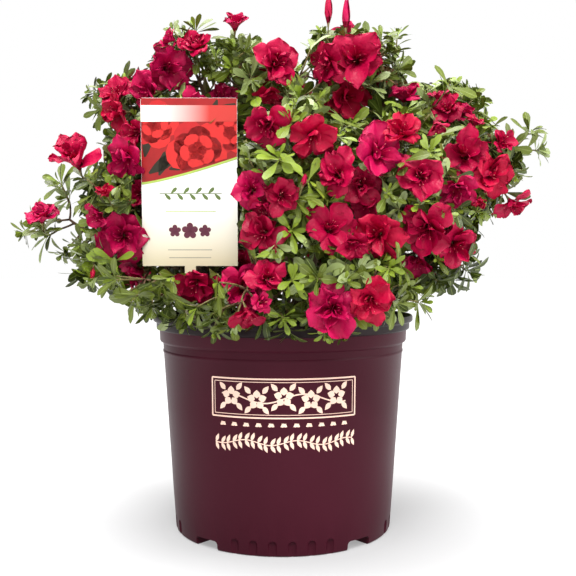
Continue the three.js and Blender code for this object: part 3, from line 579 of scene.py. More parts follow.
@dataclass
class Crown:
    """The growing rule: boughs, the wood of each mass, and the shoots that leave it."""

    gap: float = 0.3
    fork_share: float = 0.86
    bough_taper: float = 0.55
    elbow_share: float = 0.45
    bough_end: float = 0.72
    mass_seed: int = 7
    seed_step: int = 101
    shown_seed: int = 77
    stem_height: float = 27
    stem_lean: tuple[float, float] = (3, -2)
    stem_radius: float = 10.5
    bough_radius: float = 5
    thinnest_bough: float = 1.7
    twig_radius: float = 1.25
    crown_heart: float = 300
    own_reach: float = 1.15
    inner_radius: float = 215
    inner_reach: float = 1.6
    directions: int = 250
    innermost: float = -0.5
    layers: tuple[float, ...] = (1.0, 0.8, 0.6, 0.4, 1.2, 1.5)
    leaf_spacing: float = 17.5
    inner_spacing: float = 29.0
    inner_front: float = -95.0
    inner_rise: float = 10.0
    bloom_front: float = -60.0
    bloom_spacing: float = 40.0
    bloom_clear: float = 0.36
    bloom_depth: float = 0.95
    bloom_around: float = 0.4
    bloom_chance: float = 0.15
    bloom_ahead: float = 22
    facing_back: float = 0.05
    shown_scale: float = 1.08
    shown_stray: float = 0.4
    shown_rise: float = 0.35
    shown_sag: float = 0.07
    rule_sag: float = 0.12
    least_shown: float = 8
    outward_pull: float = 0.7
    stray_pull: float = 0.8
    inner_band: tuple[float, float] = (-0.9, 0.1)
    inset: tuple[float, float] = (4, 24)
    least_inset_reach: float = 0.25
    tip_clear: float = 3
    space_margin: float = 2
    rule_sizes: tuple[float, float] = (0.75, 1.2)
    rule_widths: tuple[float, float] = (36, 50)
    dealt: tuple[LeafTint, ...] = (
        LeafTint.MID, LeafTint.GREY, LeafTint.DARK, LeafTint.FRESH, LeafTint.LIME,
    )
    # Shares of the dealt tints in the crown's top and on its sides; the top's many grey and few dark sprays
    # are painted light
    top_shares: tuple[float, ...] = (0.14, 0.78, 0.80, 0.93, 1)
    side_shares: tuple[float, ...] = (0.42, 0.58, 0.84, 0.94, 1)
    # Painted shade: the share of inner sprays, below the crown's top, that are dealt the dark tint
    inner_painted_shade: float = 0.6
    # Painted light and shade: above this height sprays are dealt paler tints and blooms no deep tint; below
    # it leaves along the twigs may be dealt the dark tint
    painted_light_above: float = 430.0
    arm_start: float = 175.0
    arm_depth: float = 50.0
    boughs: dict[str, Bough] = field(default_factory=dict)
    shoots: list[Shoot] = field(default_factory=list)
    blooms: list[BloomPlace] = field(default_factory=list)
    stems: list[list[Array]] = field(default_factory=list)
    bloom_rows: Sequence = ()

    def __post_init__(self) -> None:
        """Works out the stem's two ends."""
        self.stem_foot = np.array([0, 0, POT.soil_top + self.gap])
        self.stem_top = np.array([*self.stem_lean, POT.soil_top + self.stem_height])

    def grow(self) -> None:
        """Grows the boughs, then the shoots that show from the front, then the rest of every mass."""
        self.grow_boughs()
        woods = [self.mass_wood(mass) for mass in MASSES]
        self.stems = [[point for point, _ in wood] for wood in woods]
        self.grow_shown(woods)
        for index, mass in enumerate(MASSES):
            self.grow_mass(index, mass, woods[index])

    def grow_boughs(self) -> None:
        """Each bough is one curved limb from the stem, or from another bough, to the edge of its mass."""
        for mass in MASSES:
            parent = self.boughs.get(mass.leaves_from)
            if parent:
                start = parent.point(mass.along)
                thick = parent.radius(mass.along) * self.fork_share
            else:
                side = unit(np.array([mass.at[0], mass.at[1], 0.0]))
                start = mix(self.stem_foot, self.stem_top, mass.along) + side * 0.5 * self.stem_radius
                thick = self.bough_radius
            toward = unit(mass.middle - start)
            reach = 1 / np.linalg.norm(toward / mass.halves)
            end = mass.middle - toward * self.bough_end * reach
            if parent:
                away = unit(parent.heading(mass.along) + toward * 1.4)
            else:
                level = unit(np.array([toward[0], toward[1], 0.0]))
                away = unit(level + UP * (0.35 + 1.5 * max(0.0, toward[2])))
            elbow = start + away * self.elbow_share * np.linalg.norm(end - start)
            thin = max(self.thinnest_bough, thick * self.bough_taper)
            self.boughs[mass.name] = Bough(mass.name, start, elbow, end, thick, thin)

    def mass_wood(self, mass: Mass) -> Wood:
        """A mass's own stem, from its bough's tip to its middle.

        Args:
            mass: The mass of foliage.

        Returns:
            Points of the stem, each with how far along it is.
        """
        bough = self.boughs[mass.name]
        heading = bough.heading(1)
        base = bough.end + heading * self.gap
        middle = mix(mass.middle, base, 0.15)
        span = np.linalg.norm(middle - base)
        shares = [i / 6 for i in range(7)]
        return [(mix(base + heading * span * t, mix(base, middle, t), t), t) for t in shares]

    @staticmethod
    def share(point: Array, mass: Mass) -> float:
        """How far out of a mass a point is: 1 on its ellipsoid."""
        return float(np.linalg.norm((point - mass.middle) / mass.halves))

    @staticmethod
    def power(point: Array, mass: Mass) -> float:
        """The least power says which mass a point belongs to."""
        way = point - mass.middle
        return float(way @ way) - mass.weight

    def owner(self, point: Array) -> int:
        """The mass whose space a point is in."""
        return min(range(len(MASSES)), key=lambda i: self.power(point, MASSES[i]))

    @staticmethod
    def nearest_wood(
        wood: Wood, tip: Array, axis: Array, least_far: float = 14
    ) -> tuple[Array, float] | None:
        """The wood that a new shoot leaves: near its tip, low on the mass's own stem, and behind the shoot.

        Args:
            wood: Points with how far along they are.
            tip: Where the shoot ends.
            axis: Which way it ends.
            least_far: The shortest shoot.

        Returns:
            The best point, or None.
        """
        best, least = None, math.inf
        for point, travel in wood:
            way = tip - point
            far = float(np.linalg.norm(way))
            if far < least_far:
                continue
            cost = far * (1.5 - 0.5 * float(way @ axis) / far) + 14 * travel
            if cost < least:
                best, least = (point, travel), cost
        return best

    def on_crown(self, across: float, height: float, behind: float) -> Array:
        """Where the line of sight to a point of the upright plane first meets the crown.

        Args:
            across: Place of the point from left to right.
            height: Its height.
            behind: How far behind the crown's front the result is.

        Returns:
            The point on the crown.
        """
        eye, way = np.array(VIEW.place), VIEW.sight(across, height)
        met, missed = [], []
        for mass in MASSES:
            o, d = (eye - mass.middle) / mass.halves, way / mass.halves
            a, b, c = d @ d, o @ d, o @ o - 1
            spare = b * b - a * c
            if spare > 0:
                met.append((-b - math.sqrt(spare)) / a)
            missed.append((float(np.linalg.norm(o - d * b / a)), -b / a))
        far = min(met) + 9 if met else min(missed)[1]
        return eye + way * (far + behind)

    def grow_shown(self, woods: list[Wood]) -> None:
        """Grows the blooms and sprays that show from the front; sprays out on the arms vary in depth.

        Args:
            woods: The wood of every mass, to which the new shoots are added.
        """
        random = SeededRandom(self.shown_seed)
        for row in SHOWN_BLOOMS:
            face = self.on_crown(row.across, row.height, row.behind)
            face = behind_label(face, row.width * self.bloom_clear, 0.32 * row.width + 6)
            right = row.right + random.between(-self.shown_stray, self.shown_stray)
            axis = self.lean(right, row.up + random.between(-self.shown_stray, self.shown_rise))
            width = self.shown_scale * row.width * VIEW.scale_at(face)
            bloom = BloomPlace(face - axis * FACE_AHEAD * width, axis, width, row.opening, True)
            self.blooms.append(bloom)
            self.add_shown(woods, bloom.throat - axis * STALK, axis, ShootKind.BLOOM, LeafTint.MID, 0.9)
        for row in SHOWN_SPRAYS:
            depth = random.between(0, self.arm_depth) * (abs(row.across) > self.arm_start)
            face = self.on_crown(row.across, row.height, row.behind + depth)
            face = behind_label(face, 14, 14)
            axis = self.lean(row.right, row.up)
            size = row.size * VIEW.scale_at(face)
            self.add_shown(woods, face - axis * 6, axis, ShootKind.LEAVES, row.tint, size)

    @staticmethod
    def lean(right: float, up: float) -> Array:
        """A facing direction from its lean to the right and up; what is left faces the viewer."""
        toward = math.sqrt(max(0.06, 1 - right * right - up * up))
        return unit(np.array([right, -toward, up]))

    @staticmethod
    def bend(root: Array, tip: Array, axis: Array, sag: float) -> Array:
        """The middle of a shoot, which hangs back by a share of its reach from the way its tip points."""
        return mix(root, tip, 0.55) - axis * sag * np.linalg.norm(tip - root)

    def add_shown(
        self, woods: list[Wood], tip: Array, axis: Array, kind: ShootKind,
        tint: LeafTint, size: float,
    ) -> None:
        """Grows one shoot to a given tip from the nearest wood of the mass it is in.

        Args:
            woods: The wood of every mass, to which the new bend is added.
            tip: Where the shoot ends.
            axis: Which way its tip points.
            kind: What it carries.
            tint: The tint of its leaves.
            size: The scale of its leaves.
        """
        index = self.owner(tip)
        root = self.nearest_wood(woods[index], tip, axis, self.least_shown)
        if root is None:
            return
        bend = self.bend(root[0], tip, axis, self.shown_sag)
        self.shoots.append(Shoot(index, root[0], bend, tip, axis, kind, tint, size, True))
        woods[index].append((bend, root[1] + 0.5))

    def grow_mass(self, index: int, mass: Mass, wood: Wood) -> None:
        """Spreads shoots over the outer side of a mass, and then in layers further in.

        Args:
            index: The mass's place in the list.
            mass: The mass of foliage.
            wood: The wood it has so far, to which new bends are added.
        """
        random = SeededRandom(self.mass_seed + self.seed_step * index)
        outward = unit(mass.middle - np.array([0, 0, self.crown_heart]))
        ways = []
        for i in range(self.directions):
            z = 1 - (2 * i + 1) / self.directions
            ring, turn = math.sqrt(1 - z * z), i * GOLDEN_ANGLE + index
            out = np.array([ring * math.cos(turn), ring * math.sin(turn), z])
            pull = self.outward_pull * float(out @ outward) + self.stray_pull * random.draw()
            ways.append((pull, out))
        ways = [out for _, out in sorted(ways, key=lambda way: -way[0])]
        tips = np.array([s.tip for s in self.shoots] or [[1e6] * 3])
        for layer in self.layers:
            for out in ways:
                outness, (least, most) = float(out @ outward), self.inner_band
                if not (outness > self.innermost if layer <= 1 else least < outness < most):
                    continue
                reach = 1 / float(np.linalg.norm(out / mass.halves))
                inset = random.between(*self.inset)
                jitter = np.array([random.draw() - 0.5 for _ in range(3)])
                tip = mass.middle + out * layer * max(self.least_inset_reach * reach, reach - inset)
                axis = unit(out * 0.9 + outward * 0.4 + UP * mass.lift + jitter * 0.5)
                wants_bloom = self.wants_bloom(mass, tip, axis, layer, random)
                spacing = self.leaf_spacing if layer <= 1 else self.inner_spacing
                if np.min(np.sum((tips - tip) ** 2, axis=1)) < spacing**2:
                    continue
                if blocked(tip[None, :], self.tip_clear)[0] or OUTLINE.sky(tip[None, :])[0]:
                    continue
                if not self.in_own_space(tip, index, self.space_margin, layer > 1):
                    continue
                root = self.nearest_wood(wood, tip, axis)
                if root is None or self.hides_bloom(tip[None, :], 2)[0]:
                    continue
                bend = self.bend(root[0], tip, axis, self.rule_sag)
                kind = ShootKind.BLOOM if wants_bloom else ShootKind.LEAVES
                shoot = Shoot(index, root[0], bend, tip, axis, kind, self.deal_tint(mass, layer, random))
                shoot.size = random.between(*self.rule_sizes)
                if wants_bloom:
                    throat, width = tip + axis * STALK, random.between(*self.rule_widths)
                    self.blooms.append(BloomPlace(throat, axis, width, 1.0, False))
                self.shoots.append(shoot)
                tips = np.vstack([tips, tip])
                wood.append((bend, root[1] + 0.5))

    def in_own_space(self, tip: Array, index: int, margin: float, inner: bool) -> bool:
        """True where a point is inside its mass's reach and nearer to its middle than to any other's.

        Args:
            tip: The point.
            index: The mass's place in the list.
            margin: How far it has to be from the space of the next mass.
            inner: True for the layers that fill the crown's inside.

        Returns:
            True where a shoot may end there.
        """
        mass = MASSES[index]
        if self.share(tip, mass) > (self.inner_reach if inner else self.own_reach):
            return False
        if inner and (np.hypot(*tip[:2]) > self.inner_radius or tip[1] < self.inner_front):
            return False
        if inner and tip[2] < POT.height + self.inner_rise:
            return False
        own = self.power(tip, mass)
        return all(
            (self.power(tip, other) - own) / (2 * float(np.linalg.norm(other.middle - mass.middle))) >= margin
            for other in MASSES if other is not mass
        )

    def wants_bloom(
        self, mass: Mass, tip: Array, axis: Array, layer: float, random: SeededRandom
    ) -> bool:
        """True where the rule sets a bloom: on the outside, away from other blooms and from the front.

        Args:
            mass: The mass of foliage.
            tip: Where the shoot ends.
            axis: Which way its tip points.
            layer: The layer that it ends in.
            random: The stream that decides.

        Returns:
            True where a bloom goes.
        """
        chance = random.draw()
        if layer != 1 or chance > mass.bloom + self.bloom_chance:
            return False
        if axis[1] < self.facing_back or tip[1] < self.bloom_front:
            return False
        face = tip + axis * self.bloom_ahead
        around = np.array(((0, 0, 0), (1, 0, 0), (-1, 0, 0), (0, 0, -1)))
        if OUTLINE.sky(face + self.bloom_spacing / 2 * around).any():
            return False
        return all(np.linalg.norm(face - bloom.face) > self.bloom_spacing for bloom in self.blooms)

    def hides_bloom(self, points: Array, spare: float) -> Array:
        """Which points stand in front of a bloom's face, or between a shown bloom and the viewer.

        Args:
            points: Points in millimetres, one a row.
            spare: How clear of the bloom they have to be.

        Returns:
            True for each point that is in the way.
        """
        if len(self.bloom_rows) != len(self.blooms):
            eye = np.array(VIEW.place)
            self.bloom_rows = np.array([
                [*b.throat, *b.axis, *b.face, *unit(eye - b.face), b.width, b.shown] for b in self.blooms
            ])
        rows = self.bloom_rows
        width, shown = rows[:, 12], rows[:, 13] > 0
        along, aside = self.past(points, rows[:, 0:3], rows[:, 3:6])
        hidden = (along > 0) & (along < self.bloom_depth * width)
        hidden &= aside < self.bloom_around * width + spare
        along, aside = self.past(points, rows[:, 6:9], rows[:, 9:12])
        return (hidden | (shown & (along > -3) & (aside < self.bloom_clear * width + spare))).any(axis=1)

    @staticmethod
    def past(points: Array, starts: Array, ways: Array) -> tuple[Array, Array]:
        """How far points are along and aside of lines: a row for each point, a column for each line.

        Args:
            points: Points, one a row.
            starts: Where each line starts.
            ways: Where each line points.

        Returns:
            The distances along and aside.
        """
        to_points = points[:, None, :] - starts
        along = np.sum(to_points * ways, axis=2)
        aside = np.linalg.norm(to_points - along[..., None] * ways, axis=2)
        return along, aside

    def deal_tint(self, mass: Mass, layer: float, random: SeededRandom) -> LeafTint:
        """The tint that a spray of the rule is dealt, with painted light and shade: paler in the crown's top,
        darker inside and below.

        Args:
            mass: The mass of foliage.
            layer: The layer that the spray is in.
            random: The stream that decides.

        Returns:
            The tint.
        """
        chance = random.draw()
        high = mass.at[2] > self.painted_light_above
        if layer not in self.layers[:2]:
            # Painted shade: inner sprays below the crown's top are often dealt the dark tint
            return LeafTint.DARK if chance < self.inner_painted_shade and not high else LeafTint.MID
        shares = self.top_shares if high else self.side_shares
        return next(tint for share, tint in zip(shares, self.dealt) if chance < share)


def behind_label(point: Array, reach: float, back: float) -> Array:
    """Moves a point that the label hides back along the line of sight, until it stands behind the card.

    Args:
        point: The point, in millimetres.
        reach: How far what stands there spreads sideways.
        back: How far behind the card it has to be.

    Returns:
        The point, moved where it has to be.
    """
    eye = np.array(VIEW.place)
    way = unit(point - eye)
    for _ in range(80):
        x, y, z = LABEL.to_card(point)
        aside = abs(x) > LABEL.width / 2 + reach
        past = y > LABEL.rise + LABEL.height + reach or y < LABEL.rise - reach
        if aside or past or z < -back:
            return point
        point = point + way * 2
    return point


def blocked(points: Array, margin: float) -> Array:
    """Which points a twig or leaf may not reach: the pot and soil, and the label with the view of its face.

    Args:
        points: Points in millimetres, one a row.
        margin: How clear they have to be.

    Returns:
        True for each point that is blocked.
    """
    radius = np.hypot(points[:, 0], points[:, 1])
    height = points[:, 2]
    outer = np.where(height > POT.body_top, POT.lip_radius, POT.foot_radius + 14 * height / POT.body_top)
    inner = POT.body_top_radius - POT.wall - margin
    in_pot = (height < POT.height + margin) & (radius < outer + margin)
    in_pot &= ~((radius < inner) & (height > POT.soil_top + margin))
    card = LABEL.to_card(points)
    room = margin + 1
    on_card = (np.abs(card[:, 0]) < LABEL.width / 2 + room) & (card[:, 1] > LABEL.rise - room)
    on_card &= (card[:, 1] < LABEL.rise + LABEL.height + room) & (card[:, 2] > -room)
    on_stem = (np.abs(card[:, 0]) < LABEL.stem_width / 2 + room) & (np.abs(card[:, 2]) < room)
    on_stem &= card[:, 1] < LABEL.rise
    return in_pot | on_card | on_stem | seen_on_label(points)


def seen_on_label(points: Array) -> Array:
    """Which points stand between the viewer and the label's face.

    Args:
        points: Points in millimetres, one a row.

    Returns:
        True for each point that would hide the face.
    """
    eye = np.array(VIEW.place)
    ways = points - eye
    face = LABEL.to_world(np.array([[0.0, 0.0, 0.0], [0.0, 0.0, 1.0]]))
    normal = face[1] - face[0]
    reach = ((face[0] - eye) @ normal) / (ways @ normal)
    card = LABEL.to_card(eye + ways * reach[:, None])
    inside = (np.abs(card[:, 0]) < LABEL.width / 2) & (card[:, 1] > LABEL.rise)
    return inside & (card[:, 1] < LABEL.rise + LABEL.height) & (reach > 1)


# Flat outlines, as lists of places across and up


def with_middle(outline: FlatShape) -> Array:
    """A flat outline's points, with their middle last."""
    flat = np.array(outline, float)
    return np.vstack([flat, flat.mean(axis=0)])


def turned(shares: FlatShape, x: float, y: float, turn: float, long: float, wide: float) -> FlatShape:
    """An outline that leaves a point at an angle, from its points as shares of its length and width."""
    c, s = math.cos(turn), math.sin(turn)
    return [(x + a * long * c - b * wide * s, y + a * long * s + b * wide * c) for a, b in shares]


def rectangle(left: float, right: float, low: float, high: float) -> FlatShape:
    """An upright rectangle."""
    return [(left, low), (left, high), (right, high), (right, low)]


def fifths(phase: float = math.pi / 2) -> list[float]:
    """The five angles of a blossom's petals."""
    return [phase + petal * 2 * math.pi / 5 for petal in range(5)]


# Meshes


def new_object(name: str, data: ID) -> Object:
    """A new object of this data, linked to the scene.

    Args:
        name: The object's name.
        data: Its mesh, light or camera.

    Returns:
        The object.
    """
    made = bpy.data.objects.new(name, data)
    bpy.context.scene.collection.objects.link(made)
    return made


class MeshStock:
    """Corners and faces of one piece, gathered in millimetres before its mesh is made."""

    def __init__(self) -> None:
        """Starts empty."""
        self.corners: list[Array] = []
        self.loops: list[Array] = []
        self.sizes: list[Array] = []
        self.finishes: list[Array] = []
        self.count = 0

    def add(self, corners: Array, faces: Array | list, finish: int | Array = 0) -> None:
        """Adds corners, and faces that count from the first of them.

        Args:
            corners: Corners in millimetres, with three numbers each.
            faces: Corner numbers, one face a row; a list may mix faces of different sizes.
            finish: One finish number for all the faces, or one each.
        """
        sizes = np.array([len(face) for face in faces])
        loops = np.ravel(faces) if isinstance(faces, Array) else np.concatenate(faces)
        self.corners.append(np.asarray(corners, float).reshape(-1, 3))
        self.loops.append(loops + self.count)
        self.sizes.append(sizes)
        self.finishes.append(np.broadcast_to(finish, len(sizes)))
        self.count += len(self.corners[-1])

    def add_sheets(self, points: Array, finish: Array) -> None:
        """Adds many sheets of the same grid.

        Args:
            points: Corners as sheets, rows, columns and three numbers.
            finish: Finish numbers as sheets, rows less one and columns less one.
        """
        sheets, rows, cols, _ = points.shape
        corner = np.arange(rows * cols).reshape(rows, cols)
        quads = np.stack([corner[:-1, :-1], corner[:-1, 1:], corner[1:, 1:], corner[1:, :-1]], axis=-1)
        faces = quads.reshape(1, -1, 4) + (np.arange(sheets) * rows * cols)[:, None, None]
        self.add(points, faces.reshape(-1, 4), finish.reshape(-1))

    def add_fan(self, corners: Array, finish: int = 0) -> None:
        """Adds a filled shape, fanned from its last corner."""
        last = len(corners) - 1
        self.add(corners, [[k, (k + 1) % last, last] for k in range(last)], finish)

    def add_loft(self, rings: Array, finish: int = 0) -> None:
        """Adds a closed solid through rings of corners, given as rings, corners and three numbers.

        Args:
            rings: Corners as rings, corners and three numbers.
            finish: Finish number.
        """
        count, sides, _ = rings.shape
        corner = np.arange(count * sides).reshape(count, sides)
        after = np.roll(corner, -1, axis=1)
        quads = np.stack([corner[:-1], after[:-1], after[1:], corner[1:]], axis=-1).reshape(-1, 4)
        self.add(rings, quads.tolist() + [corner[0][::-1].tolist(), corner[-1].tolist()], finish)

    def add_tube(
        self, path: Array, radii: Array, sides: int, finish: int = 0, relief: Callable | None = None
    ) -> None:
        """Adds a closed tube along a path.

        Args:
            path: Points along the middle.
            radii: The radius at each point.
            sides: Corners round the tube.
            finish: Finish number.
            relief: A function of a corner and its outward direction that gives how far it stands proud.
        """
        along = units(np.gradient(path, axis=0))
        u, _ = sides_of(along[0])
        turn = 2 * np.pi * np.arange(sides) / sides
        rings = []
        for point, way, radius in zip(path, along, radii):
            u = unit(u - way * (u @ way))
            v = np.cross(way, u)
            out = np.outer(np.cos(turn), u) + np.outer(np.sin(turn), v)
            ring = point + out * radius
            if relief:
                ring = ring + out * np.array([relief(p, o) for p, o in zip(ring, out)])[:, None]
            rings.append(ring)
        self.add_loft(np.array(rings), finish)

    def add_turned(
        self, profile: FlatShape, sides: int, finish: Sequence[int] | int = 0,
        middle: tuple[float, float] = (0, 0),
    ) -> None:
        """Adds a closed solid turned about an upright axis.

        Args:
            profile: Radius and height pairs. The first and last are on the axis.
            sides: Corners round it.
            finish: One finish number, or one for each step of the profile.
            middle: Where the axis stands.
        """
        kinds = [finish] * (len(profile) - 1) if isinstance(finish, int) else finish
        turn = 2 * np.pi * np.arange(sides) / sides
        rings = len(profile) - 2
        corners = [[0, 0, profile[0][1]]]
        for radius, height in profile[1:-1]:
            ring = [radius * np.cos(turn), radius * np.sin(turn), np.full(sides, height)]
            corners += np.stack(ring, -1).tolist()
        corners.append([0, 0, profile[-1][1]])
        faces, base = [], 1 + (rings - 1) * sides
        for k in range(sides):
            after = (k + 1) % sides
            faces.append([0, 1 + after, 1 + k])
            for start in range(1, base, sides):
                faces.append([start + k, start + after, start + after + sides, start + k + sides])
            faces.append([base + k, base + after, len(corners) - 1])
        self.add(np.array(corners, float) + [*middle, 0], faces, np.tile(kinds, sides))

    def piece(self, name: str, finishes: Sequence[Material], sharp_deg: float = 180) -> Object:
        """Makes the mesh object, in metres.

        Args:
            name: The piece's name.
            finishes: Materials in the order of the finish numbers.
            sharp_deg: Edges over this angle stay sharp.

        Returns:
            The object, linked to the scene.
        """
        mesh = bpy.data.meshes.new(name)
        corners, loops = np.vstack(self.corners) * METRES, np.concatenate(self.loops)
        sizes = np.concatenate(self.sizes)
        mesh.vertices.add(len(corners))
        mesh.vertices.foreach_set("co", corners.astype(np.float32).ravel())
        mesh.loops.add(len(loops))
        mesh.loops.foreach_set("vertex_index", loops.astype(np.int32))
        mesh.polygons.add(len(sizes))
        mesh.polygons.foreach_set("loop_start", (np.cumsum(sizes) - sizes).astype(np.int32))
        for finish in finishes:
            mesh.materials.append(finish)
        mesh.polygons.foreach_set("material_index", np.concatenate(self.finishes).astype(np.int32))
        mesh.update(calc_edges=True)
        mesh.shade_smooth()
        if sharp_deg < 180:
            mesh.set_sharp_from_angle(angle=math.radians(sharp_deg))
        return new_object(name, mesh)


def set_on_frame(piece: Object, slot: str, *nodes: str) -> Object:
    """Lets a piece ride on the part, hides the CAD nodes that it stands for, and reports it.

    Args:
        piece: The finished piece.
        slot: A material slot's name, which is not used.
        nodes: The CAD nodes that it replaces.

    Returns:
        The piece.
    """
    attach(piece, BODY)
    if nodes:
        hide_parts(*nodes)
    log.info("%s: %d faces, stands for %d nodes", piece.name, len(piece.data.polygons), len(nodes))
    return piece


# Shader nodes, and the effects that several finishes share


def feed(tree: NodeTree, node: Node, values: dict) -> None:
    """Sets a node's inputs by name, or joins them where the value is another node's output.

    Args:
        tree: The tree that the node is in.
        node: The node.
        values: Values or outputs by input.
    """
    for key, value in values.items():
        if isinstance(value, NodeSocket):
            tree.links.new(value, node.inputs[key])
        else:
            node.inputs[key].default_value = value


def add_node(tree: NodeTree, kind: str, values: dict, **settings: object) -> Node:
    """Adds a shader node.

    Args:
        tree: The tree that it goes in.
        kind: Its type, less the word that they all start with.
        values: What its inputs are set to or joined to.
        settings: The node's own settings.

    Returns:
        The node.
    """
    node = tree.nodes.new(f"ShaderNode{kind}")
    for key, value in settings.items():
        setattr(node, key, value)
    feed(tree, node, values)
    return node


def coordinate(tree: NodeTree, name: str = "Object") -> NodeSocket:
    """A texture coordinate."""
    return add_node(tree, "TexCoord", {}).outputs[name]


def spread(tree: NodeTree, value: NodeSocket, **ends: float) -> NodeSocket:
    """A value spread from one range to another: from_min, from_max, to_min and to_max."""
    named = {key.replace("_", " ").title(): end for key, end in ends.items()}
    return add_node(tree, "MapRange", {"Value": value, **named}).outputs["Result"]


def blend(tree: NodeTree, share: NodeSocket, first: object, second: object) -> NodeSocket:
    """A colour that goes from the first to the second by a share."""
    values = {"Factor": share, "A": first, "B": second}
    return add_node(tree, "Mix", values, data_type="RGBA").outputs["Result"]


class Effects:
    """Shader node groups, each built once and placed in a finish with its own values."""

    def __init__(self) -> None:
        """Builds the groups."""
        self.mottle = self.build_mottle()
        self.skin = self.build_skin()
        self.furrows = self.build_furrows()

    @staticmethod
    def new_socket(group: NodeTree, name: str, side: str) -> bpy.types.NodeTreeInterfaceSocket:
        """Adds a socket to a group; those named as colours are colours, the rest are numbers."""
        kind = "NodeSocketColor" if name.endswith("Colour") else "NodeSocketFloat"
        return group.interface.new_socket(name, in_out=side, socket_type=kind)

    def open(self, name: str, **usual: float | tuple) -> tuple[NodeTree, bpy.types.NodeOutputs]:
        """Starts a group.

        Args:
            name: The group's name.
            usual: Its inputs' usual values. Their names are the inputs' names, with spaces and capitals.

        Returns:
            The group, and the inputs for use inside it.
        """
        group = bpy.data.node_groups.new(name, "ShaderNodeTree")
        for key, value in usual.items():
            self.new_socket(group, key.replace("_", " ").title(), "INPUT").default_value = value
        return group, group.nodes.new("NodeGroupInput").outputs

    def close(self, group: NodeTree, **given: NodeSocket) -> NodeTree:
        """Ends a group with its outputs, whose names start with capitals.

        Args:
            group: The group.
            given: The sockets that feed its outputs, by name.

        Returns:
            The group.
        """
        for name in given:
            self.new_socket(group, name, "OUTPUT")
        feed(group, group.nodes.new("NodeGroupOutput"), given)
        return group

    def build_mottle(self) -> NodeTree:
        """Soft blotches with a fine grain: a colour between two, a roughness and a height.

        Returns:
            The node group.
        """
        grey = (0.5, 0.5, 0.5, 1.0)
        group, given = self.open(
            "mottle", first_colour=grey, second_colour=grey, blotch_scale=20.0, grain_scale=300.0,
            least_roughness=0.4, most_roughness=0.5,
        )
        place = coordinate(group)
        blotch = add_node(group, "TexNoise", {"Detail": 4, "Vector": place, "Scale": given["Blotch Scale"]})
        grain = add_node(group, "TexNoise", {"Detail": 3, "Vector": place, "Scale": given["Grain Scale"]})
        share = spread(group, blotch.outputs["Fac"], from_min=0.35, from_max=0.65)
        rough = spread(
            group, grain.outputs["Fac"], to_min=given["Least Roughness"], to_max=given["Most Roughness"]
        )
        colour = blend(group, share, given["First Colour"], given["Second Colour"])
        return self.close(group, Colour=colour, Roughness=rough, Height=grain.outputs["Fac"])

    def build_skin(self) -> NodeTree:
        """The skin of a leaf or petal: a fine puckered grain that changes the gloss and the relief.

        Returns:
            The node group.
        """
        group, given = self.open("leaf_skin", pucker_scale=500.0, least_roughness=0.35, most_roughness=0.55)
        values = {"Vector": coordinate(group), "Scale": given["Pucker Scale"]}
        pucker = add_node(group, "TexVoronoi", values, feature="SMOOTH_F1")
        grain = add_node(group, "TexNoise", {"Detail": 2, **values})
        heights = {0: pucker.outputs["Distance"], 1: grain.outputs["Fac"]}
        height = add_node(group, "Math", heights, operation="ADD").outputs["Value"]
        rough = spread(
            group, grain.outputs["Fac"], from_min=0.3, from_max=0.7,
            to_min=given["Least Roughness"], to_max=given["Most Roughness"],
        )
        return self.close(group, Roughness=rough, Height=height)

    def build_furrows(self) -> NodeTree:
        """Lengthways furrows, as in bark: a colour between ridge and furrow, and a height.

        Returns:
            The node group.
        """
        group, given = self.open(
            "furrows", ridge_colour=(0.3, 0.25, 0.2, 1.0), furrow_colour=(0.1, 0.08, 0.06, 1.0),
            furrow_scale=220.0, stretch=0.2,
        )
        stretch = add_node(group, "CombineXYZ", {"X": 1, "Y": 1, "Z": given["Stretch"]}).outputs["Vector"]
        scaled = add_node(group, "VectorMath", {0: coordinate(group), 1: stretch}, operation="MULTIPLY")
        furrow = add_node(group, "TexNoise", {
            "Detail": 6, "Roughness": 0.65,
            "Vector": scaled.outputs["Vector"], "Scale": given["Furrow Scale"],
        })
        height = spread(group, furrow.outputs["Fac"], from_min=0.38, from_max=0.6)
        colour = blend(group, height, given["Furrow Colour"], given["Ridge Colour"])
        return self.close(group, Colour=colour, Height=height)


@dataclass(frozen=True)
class Finish:
    """What every finish has: its name, gloss and relief."""

    name: str
    specular: float = 0.5
    bump: float = 0.0002

    def make(self, group: NodeTree, values: dict, own: dict) -> Material:
        """Makes the material: a shared effect feeds the main shader, and its height a bump.

        Args:
            group: The shared effect.
            values: What the effect's inputs are set to.
            own: What the shader's own inputs are set to.

        Returns:
            The material.
        """
        made = bpy.data.materials.new(self.name)
        made.use_nodes = True
        tree = made.node_tree
        given = add_node(tree, "Group", values, node_tree=group).outputs
        bump = add_node(tree, "Bump", {"Distance": self.bump, "Strength": 0.6, "Height": given["Height"]})
        names = {"Base Color": "Colour", "Roughness": "Roughness"}
        joined = {key: given[name] for key, name in names.items() if name in given}
        always = {"Specular IOR Level": self.specular, "Normal": bump.outputs["Normal"]}
        feed(tree, tree.nodes["Principled BSDF"], {**always, **joined, **own})
        return made


@dataclass(frozen=True)
class MottledFinish(Finish):
    """A finish of two close colours in blotches, with a fine grain."""

    first: tuple = (0, 0, 0, 1)
    second: tuple = (0, 0, 0, 1)
    blotch: float = 20
    grain: float = 400
    least: float = 0.35
    most: float = 0.5

    def dress(self, effects: Effects) -> Material:
        """Makes the material.

        Args:
            effects: The shared node groups.

        Returns:
            The material.
        """
        return self.make(effects.mottle, {
            "First Colour": self.first,
            "Second Colour": self.second,
            "Blotch Scale": self.blotch,
            "Grain Scale": self.grain,
            "Least Roughness": self.least,
            "Most Roughness": self.most,
        }, {})


